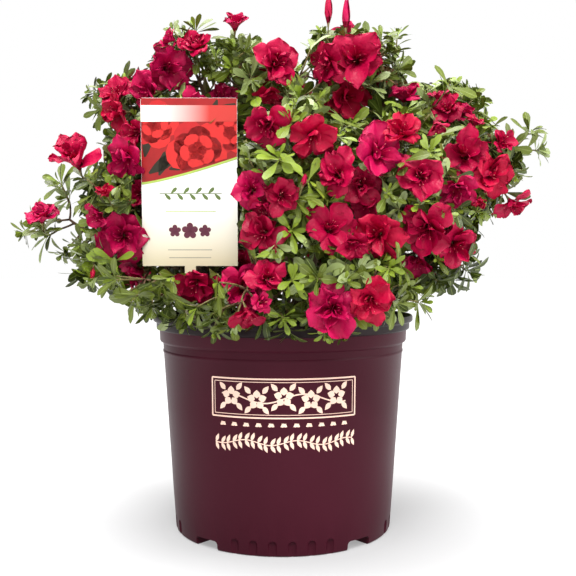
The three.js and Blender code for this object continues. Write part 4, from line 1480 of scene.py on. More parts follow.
@dataclass(frozen=True)
class SkinFinish(Finish):
    """The skin of a leaf or petal in one plain tint, with its own pucker and gloss."""

    colour: tuple = (0, 0, 0, 1)
    pucker: float = 500
    least: float = 0.35
    most: float = 0.55

    def dress(self, effects: Effects) -> Material:
        """Makes the material."""
        values = {"Pucker Scale": self.pucker, "Least Roughness": self.least, "Most Roughness": self.most}
        return self.make(effects.skin, values, {"Base Color": self.colour})


@dataclass(frozen=True)
class BarkFinish(Finish):
    """Furrowed bark."""

    ridge: tuple = (0, 0, 0, 1)
    furrow: tuple = (0, 0, 0, 1)
    scale: float = 220
    stretch: float = 0.3
    rough: float = 0.8

    def dress(self, effects: Effects) -> Material:
        """Makes the material.

        Args:
            effects: The shared node groups.

        Returns:
            The material.
        """
        return self.make(effects.furrows, {
            "Ridge Colour": self.ridge,
            "Furrow Colour": self.furrow,
            "Furrow Scale": self.scale,
            "Stretch": self.stretch,
        }, {"Roughness": self.rough})


@dataclass(frozen=True)
class CardFinish(SkinFinish):
    """Printed card whose colour runs from one tint to another along an axis, as from cream up to white."""

    upper: tuple = (0, 0, 0, 1)
    lower: tuple = (0, 0, 0, 1)
    low: float = 0.28
    high: float = 0.36
    along: str = "Z"

    def dress(self, effects: Effects) -> Material:
        """Makes the material.

        Args:
            effects: The shared node groups.

        Returns:
            The material.
        """
        made = super().dress(effects)
        tree = made.node_tree
        parts = add_node(tree, "SeparateXYZ", {"Vector": coordinate(tree)})
        share = spread(tree, parts.outputs[self.along], from_min=self.low, from_max=self.high)
        colour = blend(tree, share, self.lower, self.upper)
        feed(tree, tree.nodes["Principled BSDF"], {"Base Color": colour})
        return made


# The pot


def near(radius: float, height: float, offsets: FlatShape) -> FlatShape:
    """Corners at these offsets, outward and up, from a radius and a height."""
    return [(radius + out, height + up) for out, up in offsets]


@dataclass
class Pot:
    """The nursery pot: turned body with its bands and rounded lip, and niches and slots round its foot."""

    sizes: PotSizes = POT
    sides: int = 144
    niche_sides: int = 20
    dome_degs: tuple[float, ...] = (22, 45, 68)
    under: float = -3.0
    floor_thick: float = 2.5
    inner_bend: float = 22
    wall_heights: tuple[float, ...] = (40, 90, 140)
    ring: FlatShape = ((189, 0), (190, 0.55), (191, 0.7), (192, 0.55), (193, 0))
    # Corners of the outline as offsets, outward and up, from the radius and the height that they belong to
    foot_edge: FlatShape = ((-3, 0), (-1.6, 0.35), (-0.5, 1.3), (0, 3))
    shoulder: FlatShape = ((-0.1, -0.6), (0.5, 0))
    collar_foot: FlatShape = ((-1.1, 1.5), (-0.5, 2.6))
    collar_edge: FlatShape = ((-0.1, -1.5),)
    band_seat: FlatShape = ((0.3, -0.2),)
    band_foot: FlatShape = ((-0.9, 0.5), (-0.2, 1.2), (0, 2.2))
    band_edge: FlatShape = ((0, -0.9), (0.5, 0))
    lip_foot: FlatShape = ((-1.0, 0.5), (-0.2, 1.3), (0, 2.4))
    lip_edge: FlatShape = ((0, -2.0), (-0.35, -0.8), (-1.2, 0))
    lip_inside: FlatShape = ((0, -0.3), (-0.3, -1.5))
    maroon: MottledFinish = MottledFinish(
        "pot_maroon_plastic", 0.08, 0.00012, (0.040, 0.0045, 0.0108, 1), (0.045, 0.0055, 0.0128, 1),
        blotch=9, grain=700, least=0.34, most=0.44,
    )
    black: MottledFinish = MottledFinish(
        "pot_black_plastic", 0.14, 0.00012, linear(24, 14, 16), linear(30, 18, 20),
        blotch=12, grain=700, least=0.34, most=0.46,
    )

    def profile(self) -> tuple[FlatShape, list[int]]:
        """The outline of the wall from the underside's middle to the inside's, with a finish for each step.

        Returns:
            Radius and height pairs, and finish numbers: 0 maroon, 1 black.
        """
        s = self.sizes
        band_top = s.height - s.lip_depth
        collar_top = band_top - s.band_depth
        inside_foot, floor_top = s.foot_radius - s.foot_wall, s.slot_height + self.floor_thick
        maroon = [(0, 0), *near(s.foot_radius, 0, self.foot_edge)]
        maroon += [(s.outer_radius(z), z) for z in self.wall_heights]
        maroon += [(s.outer_radius(z) + proud, z) for z, proud in self.ring]
        maroon += near(s.body_top_radius, s.body_top, self.shoulder)
        maroon += near(s.collar_radius, s.body_top, self.collar_foot)
        maroon += near(s.collar_radius, collar_top, self.collar_edge)
        black = near(s.collar_radius, collar_top, self.band_seat)
        black += near(s.band_radius, collar_top, self.band_foot)
        black += near(s.band_radius, band_top, self.band_edge)
        black += near(s.lip_radius, band_top, self.lip_foot)
        black += near(s.lip_radius, s.height, self.lip_edge)
        black += near(s.lip_radius - s.wall, s.height, self.lip_inside)
        black += [
            (s.band_radius - s.wall, band_top + 0.5), (s.collar_radius - s.wall, collar_top),
            (s.outer_radius(s.body_top) - s.wall, s.body_top - 2),
            (inside_foot, self.inner_bend), (inside_foot, floor_top), (0, floor_top),
        ]
        return maroon + black, [0] * len(maroon) + [1] * (len(black) - 1)

    def cutters(self) -> Object:
        """The slots and niches round the foot, as one closed cutter.

        Returns:
            The cutter's object.
        """
        s = self.sizes
        stock = MeshStock()
        half, top = s.slot_width / 2, s.slot_height
        right = [(half, self.under), (half, top - 3), (half - 1.2, top - 0.8), (half - 3.2, top)]
        outline = [(-half, self.under), *right, *((-a, z) for a, z in right[:0:-1])]
        for foot in range(s.feet):
            slot = math.radians((90, -90)[foot // 2] + (-1) ** foot * s.slot_turn_deg)
            along = np.array([math.cos(slot), math.sin(slot), 0])
            across = np.array([-math.sin(slot), math.cos(slot), 0])
            reach = (s.slot_inner_radius, s.lip_radius)
            stock.add_loft(np.array([[along * r + across * a + UP * z for a, z in outline] for r in reach]))
            middle = 2 * math.pi * foot / s.feet
            for niche in range(s.niches_per_foot):
                turn = middle + math.radians((niche - (s.niches_per_foot - 1) / 2) * s.niche_step_deg)
                self.add_niche(stock, turn)
        return stock.piece("foot_cutter", [])

    def add_niche(self, stock: MeshStock, turn: float) -> None:
        """Adds the cutter of one arched niche: a round upright core with a domed top.

        Args:
            stock: The cutter's mesh.
            turn: Its angle round the pot.
        """
        s = self.sizes
        reach = s.foot_radius + s.niche_radius - s.niche_depth
        radius, top = s.niche_radius, s.niche_height
        dome = [math.radians(a) for a in self.dome_degs]
        profile = [(0, self.under), (radius, self.under), (radius, top - radius)]
        profile += [(radius * math.cos(a), top - radius * (1 - math.sin(a))) for a in dome] + [(0, top)]
        stock.add_turned(profile, self.niche_sides, 0, (reach * math.cos(turn), reach * math.sin(turn)))

    def build(self, effects: Effects) -> Object:
        """Turns the pot, cuts its foot and dresses it.

        Args:
            effects: The shared node groups.

        Returns:
            The pot.
        """
        stock = MeshStock()
        profile, kinds = self.profile()
        stock.add_turned(profile, self.sides, kinds)
        pot = stock.piece("nursery_pot", [self.maroon.dress(effects), self.black.dress(effects)])
        cutter = self.cutters()
        cut = pot.modifiers.new("foot", "BOOLEAN")
        cut.operation = "DIFFERENCE"
        cut.solver = "EXACT"
        cut.object = cutter
        bpy.context.view_layer.update()
        graph = bpy.context.evaluated_depsgraph_get()
        mesh = bpy.data.meshes.new_from_object(pot.evaluated_get(graph))
        pot.modifiers.clear()
        pot.data = mesh
        mesh.name = pot.name
        bpy.data.objects.remove(cutter)
        mesh.shade_smooth()
        mesh.set_sharp_from_angle(angle=math.radians(28))
        return set_on_frame(pot, "pot_plastic", "pot")


@dataclass
class PotOrnament:
    """A plain garland of blossoms and leaves in pale ink on the pot's front, wrapped on its cone."""

    sizes: PotSizes = POT
    proud: float = 0.12
    across: float = 1.5
    frame_half: float = 73
    frame_low: float = 137
    frame_high: float = 174.5
    frame_lines: FlatShape = ((0.0, 1.5), (3.0, 0.6))
    # Half length, rise, spell and width of a wavy stem; length and width of a leaf
    vine: tuple[float, ...] = (62, 4.5, 12.0, 1.3)
    vine_leaf: tuple[float, float] = (9.5, 5.0)
    leaf_turns: tuple[float, ...] = (0.9, 2.3, 4.0, 5.4)
    blossom_step: float = 26
    blossom_radius: float = 9.4
    pair: FlatShape = ((-3.2, 0.5), (3.2, 2.6))
    pair_leaf: tuple[float, float] = (6.4, 3.2)
    pair_step: float = 12.2
    pair_drop: float = 8.4
    spray: tuple[float, ...] = (70, 2.4, 8.0, 1.0)
    spray_leaf: tuple[float, float] = (8.6, 3.6)
    spray_step: float = 6.3
    spray_drop: float = 24
    leaf_shares: tuple[tuple[float, float], ...] = (
        (0, 0), (0.25, 0.42), (0.5, 0.5), (0.75, 0.32), (1, 0), (0.75, -0.32), (0.5, -0.5), (0.25, -0.42),
    )
    ink: MottledFinish = MottledFinish(
        "pale_ink", 0.35, 0.00005, linear(236, 200, 182), linear(228, 190, 172),
        blotch=60, grain=900, least=0.45, most=0.6,
    )

    def __post_init__(self) -> None:
        """Starts the mesh."""
        self.stock = MeshStock()

    def wrap(self, flat: Array) -> Array:
        """Lays flat points, with the arc length across and the height, on the pot's front.

        Args:
            flat: The flat points, one a row.

        Returns:
            The points on the pot, one a row.
        """
        radius = np.array([self.sizes.outer_radius(z) for z in flat[:, 1]]) + self.proud
        turn = (flat[:, 0] + self.across) / radius - math.pi / 2
        return np.stack([radius * np.cos(turn), radius * np.sin(turn), flat[:, 1]], axis=-1)

    def ribbon(self, path: Callable[[float], tuple[float, float]], wide: float, steps: int) -> None:
        """Adds a ribbon along a path of one parameter from 0 to 1.

        Args:
            path: The path, as places across and up.
            wide: The ribbon's width.
            steps: Its faces.
        """
        middle = np.array([path(i / steps) for i in range(steps + 1)], float)
        along = units(np.gradient(middle, axis=0))
        side = np.stack([-along[:, 1], along[:, 0]], axis=-1) * wide / 2
        flat = np.vstack([middle - side, middle + side])
        n = steps + 1
        self.stock.add(self.wrap(flat), [[k, k + 1, k + 1 + n, k + n] for k in range(steps)])

    def frame(self, half: float, low: float, high: float, wide: float) -> None:
        """Adds a rectangle of four ribbons.

        Args:
            half: Half its width.
            low: Height of its lower edge.
            high: Height of its upper edge.
            wide: The ribbons' width.
        """
        for height in (low, high):
            self.ribbon(lambda t: (half * (2 * t - 1), height), wide, 48)
        for side in (-half, half):
            self.ribbon(lambda t: (side, low + (high - low) * t), wide, 8)

    def wave(self, half: float, height: float, rise: float, spell: float, wide: float) -> None:
        """Adds a waving stem.

        Args:
            half: Half its length.
            height: Height of its middle.
            rise: How far it swings.
            spell: How far apart the swings are, over two pi.
            wide: Its width.
        """
        def path(t: float) -> tuple[float, float]:
            """The point a share t of the way along the stem."""
            x = half * (2 * t - 1)
            return x, height + rise * math.sin(x / spell)
        self.ribbon(path, wide, 96)

    def leaf(self, x: float, z: float, turn: float, long: float, wide: float) -> None:
        """Adds a pointed leaf that leaves a point at an angle."""
        self.stock.add_fan(self.wrap(with_middle(turned(self.leaf_shares, x, z, turn, long, wide))))

    def blossom(self, x: float, z: float, radius: float) -> None:
        """Adds a plain five-petal blossom.

        Args:
            x: Place across.
            z: Height.
            radius: Its radius.
        """
        inner = 0.2 * radius
        for turn in fifths():
            start = x + inner * math.cos(turn), z + inner * math.sin(turn)
            self.leaf(*start, turn, radius * 0.85, radius * 0.78)

    def build(self, effects: Effects) -> Object:
        """Lays out the garland and dresses it.

        Args:
            effects: The shared node groups.

        Returns:
            The ornament.
        """
        for inset, wide in self.frame_lines:
            self.frame(self.frame_half - inset, self.frame_low + inset, self.frame_high - inset, wide)
        middle = (self.frame_low + self.frame_high) / 2
        half, rise, spell, wide = self.vine
        self.wave(half, middle, rise, spell, wide)
        for step in range(5):
            x, z = self.blossom_step * (step - 2), middle + 1.5 * (-1) ** step
            self.blossom(x, z, self.blossom_radius)
            for turn in self.leaf_turns:
                self.leaf(x + 9 * math.cos(turn), z + 8 * math.sin(turn), turn, *self.vine_leaf)
        for step in range(-5, 6):
            for side, turn in self.pair:
                x, z = step * self.pair_step + side, self.frame_low - self.pair_drop
                self.leaf(x, z, turn, *self.pair_leaf)
        low = self.frame_low - self.spray_drop
        half, rise, spell, wide = self.spray
        self.wave(half, low, rise, spell, wide)
        for step in range(-11, 12):
            x = step * self.spray_step
            for side in (-1, 1):
                turn = (1.0 + 0.2 * (step % 2)) * side
                self.leaf(x, low + rise * math.sin(x / spell), turn, *self.spray_leaf)
        made = self.stock.piece("pot_ornament", [self.ink.dress(effects)])
        return set_on_frame(made, "pot_plastic")


# The soil


@dataclass
class Soil:
    """Potting mix: a filled pot's worth, bumpy on top, with chips of bark strewn over it."""

    sizes: PotSizes = POT
    sides: int = 96
    rings: int = 34
    seed: int = 4211
    chips: int = 420
    chip_size: float = 6.0
    chip_long: tuple[float, float] = (0.35, 0.9)
    chip_wide: tuple[float, float] = (0.18, 0.45)
    chip_thick: float = 0.14
    chip_tilt: float = 0.4
    chip_uneven: float = 0.25
    clear: float = 0.3
    floor_gap: float = 2.8
    under_level: float = 0.4
    rim_drop: float = 1.2
    bump_spell: float = 0.06
    bump_height: float = 1.6
    fine_height: float = 0.9
    fine_share: float = 3.1
    sink: float = 0.6
    mix_finish: MottledFinish = MottledFinish(
        "potting_mix", 0.2, 0.0012, linear(38, 26, 20), linear(74, 54, 40),
        blotch=90, grain=380, least=0.85, most=1.0,
    )
    chip_finish: BarkFinish = BarkFinish(
        "bark_chips", 0.25, 0.0006, linear(112, 82, 60), linear(58, 40, 30), scale=260,
    )

    def build(self, effects: Effects) -> Object:
        """Builds the soil and its chips.

        Args:
            effects: The shared node groups.

        Returns:
            The soil.
        """
        s = self.sizes
        low, top = s.slot_height + self.floor_gap, s.soil_top - self.under_level
        foot_radius = s.foot_radius - s.foot_wall - self.clear
        top_radius = s.outer_radius(s.body_top) - s.wall - self.clear
        profile = [(0, low), (foot_radius, low), (foot_radius, 22)]
        profile += [(top_radius, s.body_top - 2), (top_radius, s.soil_top - self.rim_drop)]
        profile += [(top_radius * (1 - i / self.rings), top) for i in range(1, self.rings)] + [(0, top)]
        stock = MeshStock()
        stock.add_turned(profile, self.sides)
        for row in stock.corners[0]:
            if row[2] > s.soil_top - self.rim_drop - 0.1:
                spot = Vector((row[0] * self.bump_spell, row[1] * self.bump_spell, 3.0))
                fine = self.fine_height * noise.noise(spot * self.fine_share)
                row[2] += self.bump_height * noise.noise(spot) + fine - self.sink
        self.strew(stock)
        finishes = [self.mix_finish.dress(effects), self.chip_finish.dress(effects)]
        return set_on_frame(stock.piece("potting_soil", finishes, 50), "potting_soil", "soil")

    def strew(self, stock: MeshStock) -> None:
        """Strews flat chips over the soil.

        Args:
            stock: The soil's mesh.
        """
        random = SeededRandom(self.seed)
        box = np.array([[x, y, z] for x in (-1, 1) for y in (-1, 1) for z in (-1, 1)], float)
        faces = [[0, 1, 3, 2], [4, 6, 7, 5], [0, 4, 5, 1], [2, 3, 7, 6], [0, 2, 6, 4], [1, 5, 7, 3]]
        reach = self.sizes.outer_radius(self.sizes.body_top) - self.sizes.wall - 6
        for _ in range(self.chips):
            radius, turn = reach * math.sqrt(random.draw()), random.between(0, 2 * math.pi)
            lean = [random.between(-self.chip_tilt, self.chip_tilt) for _ in range(2)]
            u, v = sides_of(unit(np.array([*lean, 1.0])), random.between(0, 2 * math.pi))
            long, wide = random.between(*self.chip_long), random.between(*self.chip_wide)
            half = self.chip_size * np.array([long, wide, self.chip_thick])
            uneven = np.array([[random.draw()] * 3 for _ in range(8)]) - 0.5
            shaped = box * half * (1 + self.chip_uneven * uneven)
            middle = np.array([radius * math.cos(turn), radius * math.sin(turn), self.sizes.soil_top + 0.2])
            stock.add(middle + shaped @ np.array([u, v, np.cross(u, v)]), faces, 1)


# The label


class Ink(Enum):
    """What a shape on the label is printed in; the bare card comes first."""

    CARD = 0
    RED = 1
    BRIGHT = 2
    DEEP = 3
    DARK_LEAF = 4
    LIME = 5
    STRIP = 6
    PLUM = 7
    GREY = 8
    LEAF = 9


@dataclass
class Label:
    """A picture card on a narrow stem: a plain pattern of blossoms above, bare card with a sprig below."""

    sizes: LabelSizes = LABEL
    corner: float = 1.5
    picture_low: float = 82.6
    picture_rise: float = 25.4
    margin: float = 0.2
    edge_steps: int = 16
    edge_bend: float = 1.25
    lime_line: tuple[float, float] = (-1.8, 0.4)
    strip_band: tuple[float, float] = (23, 7)
    # Place across, height, turn and length of each dark leaf; place and size of each blossom
    dark_leaves: tuple[tuple[float, ...], ...] = (
        (-40, 92, 0.6, 30), (-30, 90, 1.2, 26), (-20, 96, 0.3, 24), (38, 104, 2.2, 22),
        (-44, 108, 1.4, 24), (46, 160, 3.6, 26), (28, 164, 4.4, 22),
    )
    dark_leaf_wide: float = 0.42
    blossoms: tuple[tuple[float, ...], ...] = ((-34, 140, 24), (40, 132, 22), (8, 114, 31))
    blossom_rings: tuple[tuple[float, Ink], ...] = (
        (1.0, Ink.BRIGHT), (0.78, Ink.RED), (0.56, Ink.BRIGHT), (0.3, Ink.DEEP),
    )
    sprig_height: float = 72
    sprig_step: float = 6.2
    sprig_leaf: tuple[float, float] = (8.2, 3.6)
    small_blossoms: FlatShape = ((-15, 6.2), (0, 8.2), (15, 6.2))
    small_height: float = 35
    # Left, right, low, high, layer and ink of each rule
    rules: tuple[tuple, ...] = (
        (-30, 32, 71.6, 72.4, 2, Ink.LEAF), (-24, 26, 54, 54.7, 1, Ink.LIME),
        (-22, 22, 15.7, 16.6, 1, Ink.GREY), (-21, 21, 7.9, 8.8, 1, Ink.GREY),
    )
    petal_shares: tuple[tuple[float, float], ...] = (
        (0, 0.08), (0.3, 0.34), (0.6, 0.5), (0.86, 0.4), (1, 0.14),
        (1, -0.14), (0.86, -0.4), (0.6, -0.5), (0.3, -0.34), (0, -0.08),
    )
    card: CardFinish = CardFinish(
        "label_card", 0.4, 0.00002, pucker=900, least=0.3, most=0.4,
        upper=linear(247, 247, 244), lower=linear(214, 204, 172), low=0.286, high=0.352,
    )
    strip: CardFinish = CardFinish(
        "label_ink_strip", 0.4, 0.00002, pucker=900, least=0.3, most=0.4,
        upper=linear(186, 52, 46), lower=linear(240, 226, 220), low=-0.128, high=-0.072, along="X",
    )
    ink_second: float = 0.94
    ink_grain: tuple[float, ...] = (120, 900, 0.28, 0.36)
    inks: tuple[tuple[str, float, float, float], ...] = (
        ("red", 150, 22, 24), ("bright", 204, 38, 36), ("deep", 178, 26, 30), ("dark_leaf", 40, 36, 22),
        ("lime", 168, 194, 88), ("plum", 92, 34, 54), ("grey", 168, 164, 146), ("leaf", 96, 116, 60),
    )

    def __post_init__(self) -> None:
        """Starts the mesh, and works out the card's half width and its top."""
        self.stock = MeshStock()
        self.half = self.sizes.width / 2 - self.margin
        self.top = self.sizes.rise + self.sizes.height - self.margin

    def finishes(self, effects: Effects) -> list[Material]:
        """The materials in the order of Ink.

        Args:
            effects: The shared node groups.

        Returns:
            The materials.
        """
        made = [self.card.dress(effects)]
        for name, *colour in self.inks:
            close = linear(*(part * self.ink_second for part in colour))
            ink = MottledFinish(f"label_ink_{name}", 0.4, 0.00002, linear(*colour), close, *self.ink_grain)
            made.append(ink.dress(effects))
        made.insert(Ink.STRIP.value, self.strip.dress(effects))
        return made

    def body(self) -> None:
        """Adds the card and its stem as one closed plate with rounded corners."""
        s = self.sizes
        half, stem, top = s.width / 2, s.stem_width / 2, s.rise + s.height
        outline = []
        for cx, start in ((half - self.corner, 0), (-half + self.corner, 90)):
            for step in range(4):
                a = math.radians(start + 30 * step)
                rise = self.corner * (math.sin(a) - 1)
                outline.append((cx + self.corner * math.cos(a), top + rise))
        left = [(-half, s.rise), (-stem, s.rise), (-stem, s.stem_width - s.stem_depth), (0, -s.stem_depth)]
        outline += left + [(-x, y) for x, y in left[2::-1]]
        layers = [[(x, y, z) for x, y in outline] for z in (-s.thick / 2, s.thick / 2)]
        self.stock.add_loft(s.to_world(np.array(layers)))

    def stamp(self, outline: FlatShape, layer: int, ink: Ink) -> None:
        """Adds one printed shape a hair above the card.

        Args:
            outline: Its outline on the card.
            layer: Which layer of ink it is in, from the card up.
            ink: Its ink.
        """
        if len(outline) > 2:
            flat = with_middle(outline)
            height = np.full(len(flat), self.sizes.thick / 2 + 0.05 * layer)
            self.stock.add_fan(self.sizes.to_world(np.column_stack([flat, height])), ink.value)

    def in_picture(self, outline: FlatShape) -> FlatShape:
        """An outline cut off at the picture's four edges.

        Args:
            outline: The outline.

        Returns:
            What is left of it.
        """
        low, slope = self.sizes.rise + 96.5, self.picture_rise / self.sizes.width
        for a, b, c in ((1, 0, self.half), (-1, 0, self.half), (0, 1, self.top), (slope, -1, -low)):
            kept = []
            for (xa, ya), (xb, yb) in zip(outline, [*outline[1:], *outline[:1]]):
                da, db = a * xa + b * ya - c, a * xb + b * yb - c
                if da <= 0:
                    kept.append((xa, ya))
                if da * db < 0:
                    t = da / (da - db)
                    kept.append((xa + (xb - xa) * t, ya + (yb - ya) * t))
            outline = kept
        return outline

    def petal(self, x: float, y: float, turn: float, long: float, wide: float) -> FlatShape:
        """The outline of a round petal that leaves a point at an angle."""
        return turned(self.petal_shares, x, self.sizes.rise + y, turn, long, wide)

    def lower_edge(self, x: float) -> tuple[float, float]:
        """The point of the picture's lower edge at a place across the card."""
        share = x / self.sizes.width + 0.5
        return x, self.sizes.rise + self.picture_low + self.picture_rise * share**self.edge_bend

    def picture(self) -> None:
        """Adds the picture: a ground, dark leaves, large plain blossoms, the pale strip and the lime line."""
        half, top = self.half, self.top
        below, above = self.lime_line
        edge = [self.lower_edge(half - i * 2 * half / self.edge_steps) for i in range(self.edge_steps + 1)]
        for (xa, ya), (xb, yb) in zip(edge, edge[1:]):
            self.stamp([(xa, ya), (xa, top), (xb, top), (xb, yb)], 1, Ink.RED)
            self.stamp([(xa, ya + below), (xa, ya + above), (xb, yb + above), (xb, yb + below)], 9, Ink.LIME)
        for x, y, turn, long in self.dark_leaves:
            outline = self.petal(x, y, turn, long, long * self.dark_leaf_wide)
            self.stamp(self.in_picture(outline), 2, Ink.DARK_LEAF)
        for step, (x, y, size) in enumerate(self.blossoms):
            for ring, (scale, ink) in enumerate(self.blossom_rings):
                long, layer = size * scale, 3 + step * 2 + (ring > 1)
                for petal, turn in enumerate(fifths(0.4 * step)):
                    shade = Ink.DEEP if ring == 0 and petal % 2 else ink
                    outline = self.petal(x, y, turn + ring * math.pi / 5, long, long * 0.98)
                    self.stamp(self.in_picture(outline), layer, shade)
        low, high = (top - drop for drop in self.strip_band)
        self.stamp(rectangle(-half, half, low, high), 10, Ink.STRIP)

    def sprig(self) -> None:
        """Adds the small ornaments on the bare part of the card."""
        for step in range(-4, 5):
            side = 1 if step % 2 else -1
            leaf = self.petal(step * self.sprig_step, self.sprig_height, side * 0.8, *self.sprig_leaf)
            self.stamp(leaf, 1, Ink.LEAF)
        for x, size in self.small_blossoms:
            for turn in fifths():
                self.stamp(self.petal(x, self.small_height, turn, size, size * 0.8), 1, Ink.PLUM)
        for left, right, low, high, layer, ink in self.rules:
            self.stamp(rectangle(left, right, self.sizes.rise + low, self.sizes.rise + high), layer, ink)

    def build(self, effects: Effects) -> Object:
        """Builds the card with its print.

        Args:
            effects: The shared node groups.

        Returns:
            The label.
        """
        self.body()
        self.picture()
        self.sprig()
        made = self.stock.piece("picture_label", self.finishes(effects), 40)
        return set_on_frame(made, "label_card", "plant_label")


# The wood


@dataclass
class BarkLimbs:
    """The short stem and all the boughs, with the relief of their bark."""

    crown: Crown
    base_radius: float = 15
    flare: float = 2.2
    fork_above: float = 0.9
    stem_sides: int = 32
    stem_rings: int = 16
    stem_relief: float = 0.9
    sides: int = 14
    rings: int = 26
    bough_relief: float = 0.12
    bark: BarkFinish = BarkFinish(
        "azalea_bark", 0.25, 0.0007, linear(126, 104, 84), linear(58, 44, 34), scale=240, stretch=0.22,
    )

    @staticmethod
    def relief(depth: float) -> Callable[[Array, Array], float]:
        """How far the bark stands proud at a corner, for a limb whose furrows are this deep.

        Args:
            depth: The furrows' depth.

        Returns:
            A function of a corner's place and outward direction.
        """
        def proud(point: Array, out: Array) -> float:
            """Ridges that run up the limb, with slower swellings.

            Args:
                point: The corner's place.
                out: Its outward direction, which the bark doesn't use.

            Returns:
                The height above the plain limb.
            """
            spot = Vector((point[0] * 0.55, point[1] * 0.55, point[2] * 0.12))
            swell = Vector(point * 0.07)
            return depth * (noise.noise(spot) - 0.1) + 0.8 * depth * noise.noise(swell)
        return proud

    def build(self, effects: Effects) -> Object:
        """Builds stem and boughs as one piece.

        Args:
            effects: The shared node groups.

        Returns:
            The limbs.
        """
        crown = self.crown
        stock = MeshStock()
        shares = np.linspace(0, 1, self.stem_rings)
        path = np.array([mix(crown.stem_foot, crown.stem_top, t) for t in shares])
        radii = crown.stem_radius + (self.base_radius - crown.stem_radius) * (1 - shares) ** self.flare
        radii = radii * np.where(shares > self.fork_above, crown.fork_share, 1)
        stock.add_tube(path, radii, self.stem_sides, 0, self.relief(self.stem_relief))
        shares = np.linspace(0, 1, self.rings + 1)
        for bough in crown.boughs.values():
            path = np.array([bough.point(t) for t in shares])
            radii = np.array([bough.radius(t) for t in shares])
            stock.add_tube(path, radii, self.sides, 0, self.relief(self.bough_relief * bough.thick))
        made = stock.piece("stem_and_boughs", [self.bark.dress(effects)])
        return set_on_frame(made, "bark", "trunk", *(f"bough_{mass.name}" for mass in MASSES))


@dataclass
class Twigs:
    """The stems inside the masses, every shoot's twig and the stalks of the blooms."""

    crown: Crown
    tip_radius: float = 0.75
    rings: int = 7
    long_twig: float = 40
    stalk: tuple[tuple[float, float], ...] = ((-10, 0.8), (-4, 0.9), (1.5, 2.0))
    woody: BarkFinish = BarkFinish(
        "woody_twig", 0.3, 0.0004, linear(112, 86, 62), linear(62, 44, 32), scale=420, stretch=0.4,
    )
    green: BarkFinish = BarkFinish(
        "green_twig", 0.35, 0.0003, linear(124, 118, 66), linear(92, 72, 46),
        scale=420, stretch=0.4, rough=0.6,
    )

    def build(self, effects: Effects) -> Object:
        """Builds all the twigs as one piece.

        Args:
            effects: The shared node groups.

        Returns:
            The twigs.
        """
        stock, crown = MeshStock(), self.crown
        for mass, points in zip(MASSES, crown.stems):
            thin = crown.boughs[mass.name].thin
            stock.add_tube(np.array(points), np.linspace(thin, crown.twig_radius, len(points)), 8)
        radii = np.linspace(crown.twig_radius, self.tip_radius, self.rings)
        for shoot in crown.shoots:
            path = np.array([shoot.point(t) for t in np.linspace(0, 1, self.rings)])
            split = 3 if shoot.reach > self.long_twig else 2
            stock.add_tube(path[: split + 1], radii[: split + 1], 5, 0)
            stock.add_tube(path[split:], radii[split:], 5, 1)
        for bloom in crown.blooms:
            path = np.array([bloom.throat + bloom.axis * along for along, _ in self.stalk])
            radii = np.array([radius for _, radius in self.stalk])
            stock.add_tube(path, radii * min(1, 0.5 + bloom.width / 80), 6, 1)
        made = stock.piece("twigs", [self.woody.dress(effects), self.green.dress(effects)])
        return set_on_frame(made, "bark")


# Leaves and petals are gathered as rows, and then shaped all at once as sheets of the same grid


def columns(rows: Sequence, *names: str) -> list[Array]:
    """Fields of many rows, each as an array with an empty axis for a sheet's rows and one for its columns."""
    return [np.array([getattr(row, name) for row in rows], float)[:, None, None] for name in names]


def face_tints(rows: Sequence, across: Array, along: Array) -> Array:
    """The finish number of every face of every sheet, from the tint of its row."""
    tints = np.array([row.tint.value - 1 for row in rows])
    return np.tile(tints[:, None, None], (1, len(along) - 1, len(across) - 1))


@dataclass(frozen=True)
class Leaf:
    """One leaf: where it starts and points, which way its face looks, its sizes, its tint and its mass."""

    base: Array
    way: Array
    face: Array
    long: float
    wide: float
    curl: float
    fold: float
    tint: LeafTint
    mass: int


@dataclass(frozen=True)
class LeafRing:
    """One ring of leaves at a shoot's tip: how many, their pitch, their scale, and its lift."""

    count: int
    least_deg: float
    most_deg: float
    scale: float
    lift: float


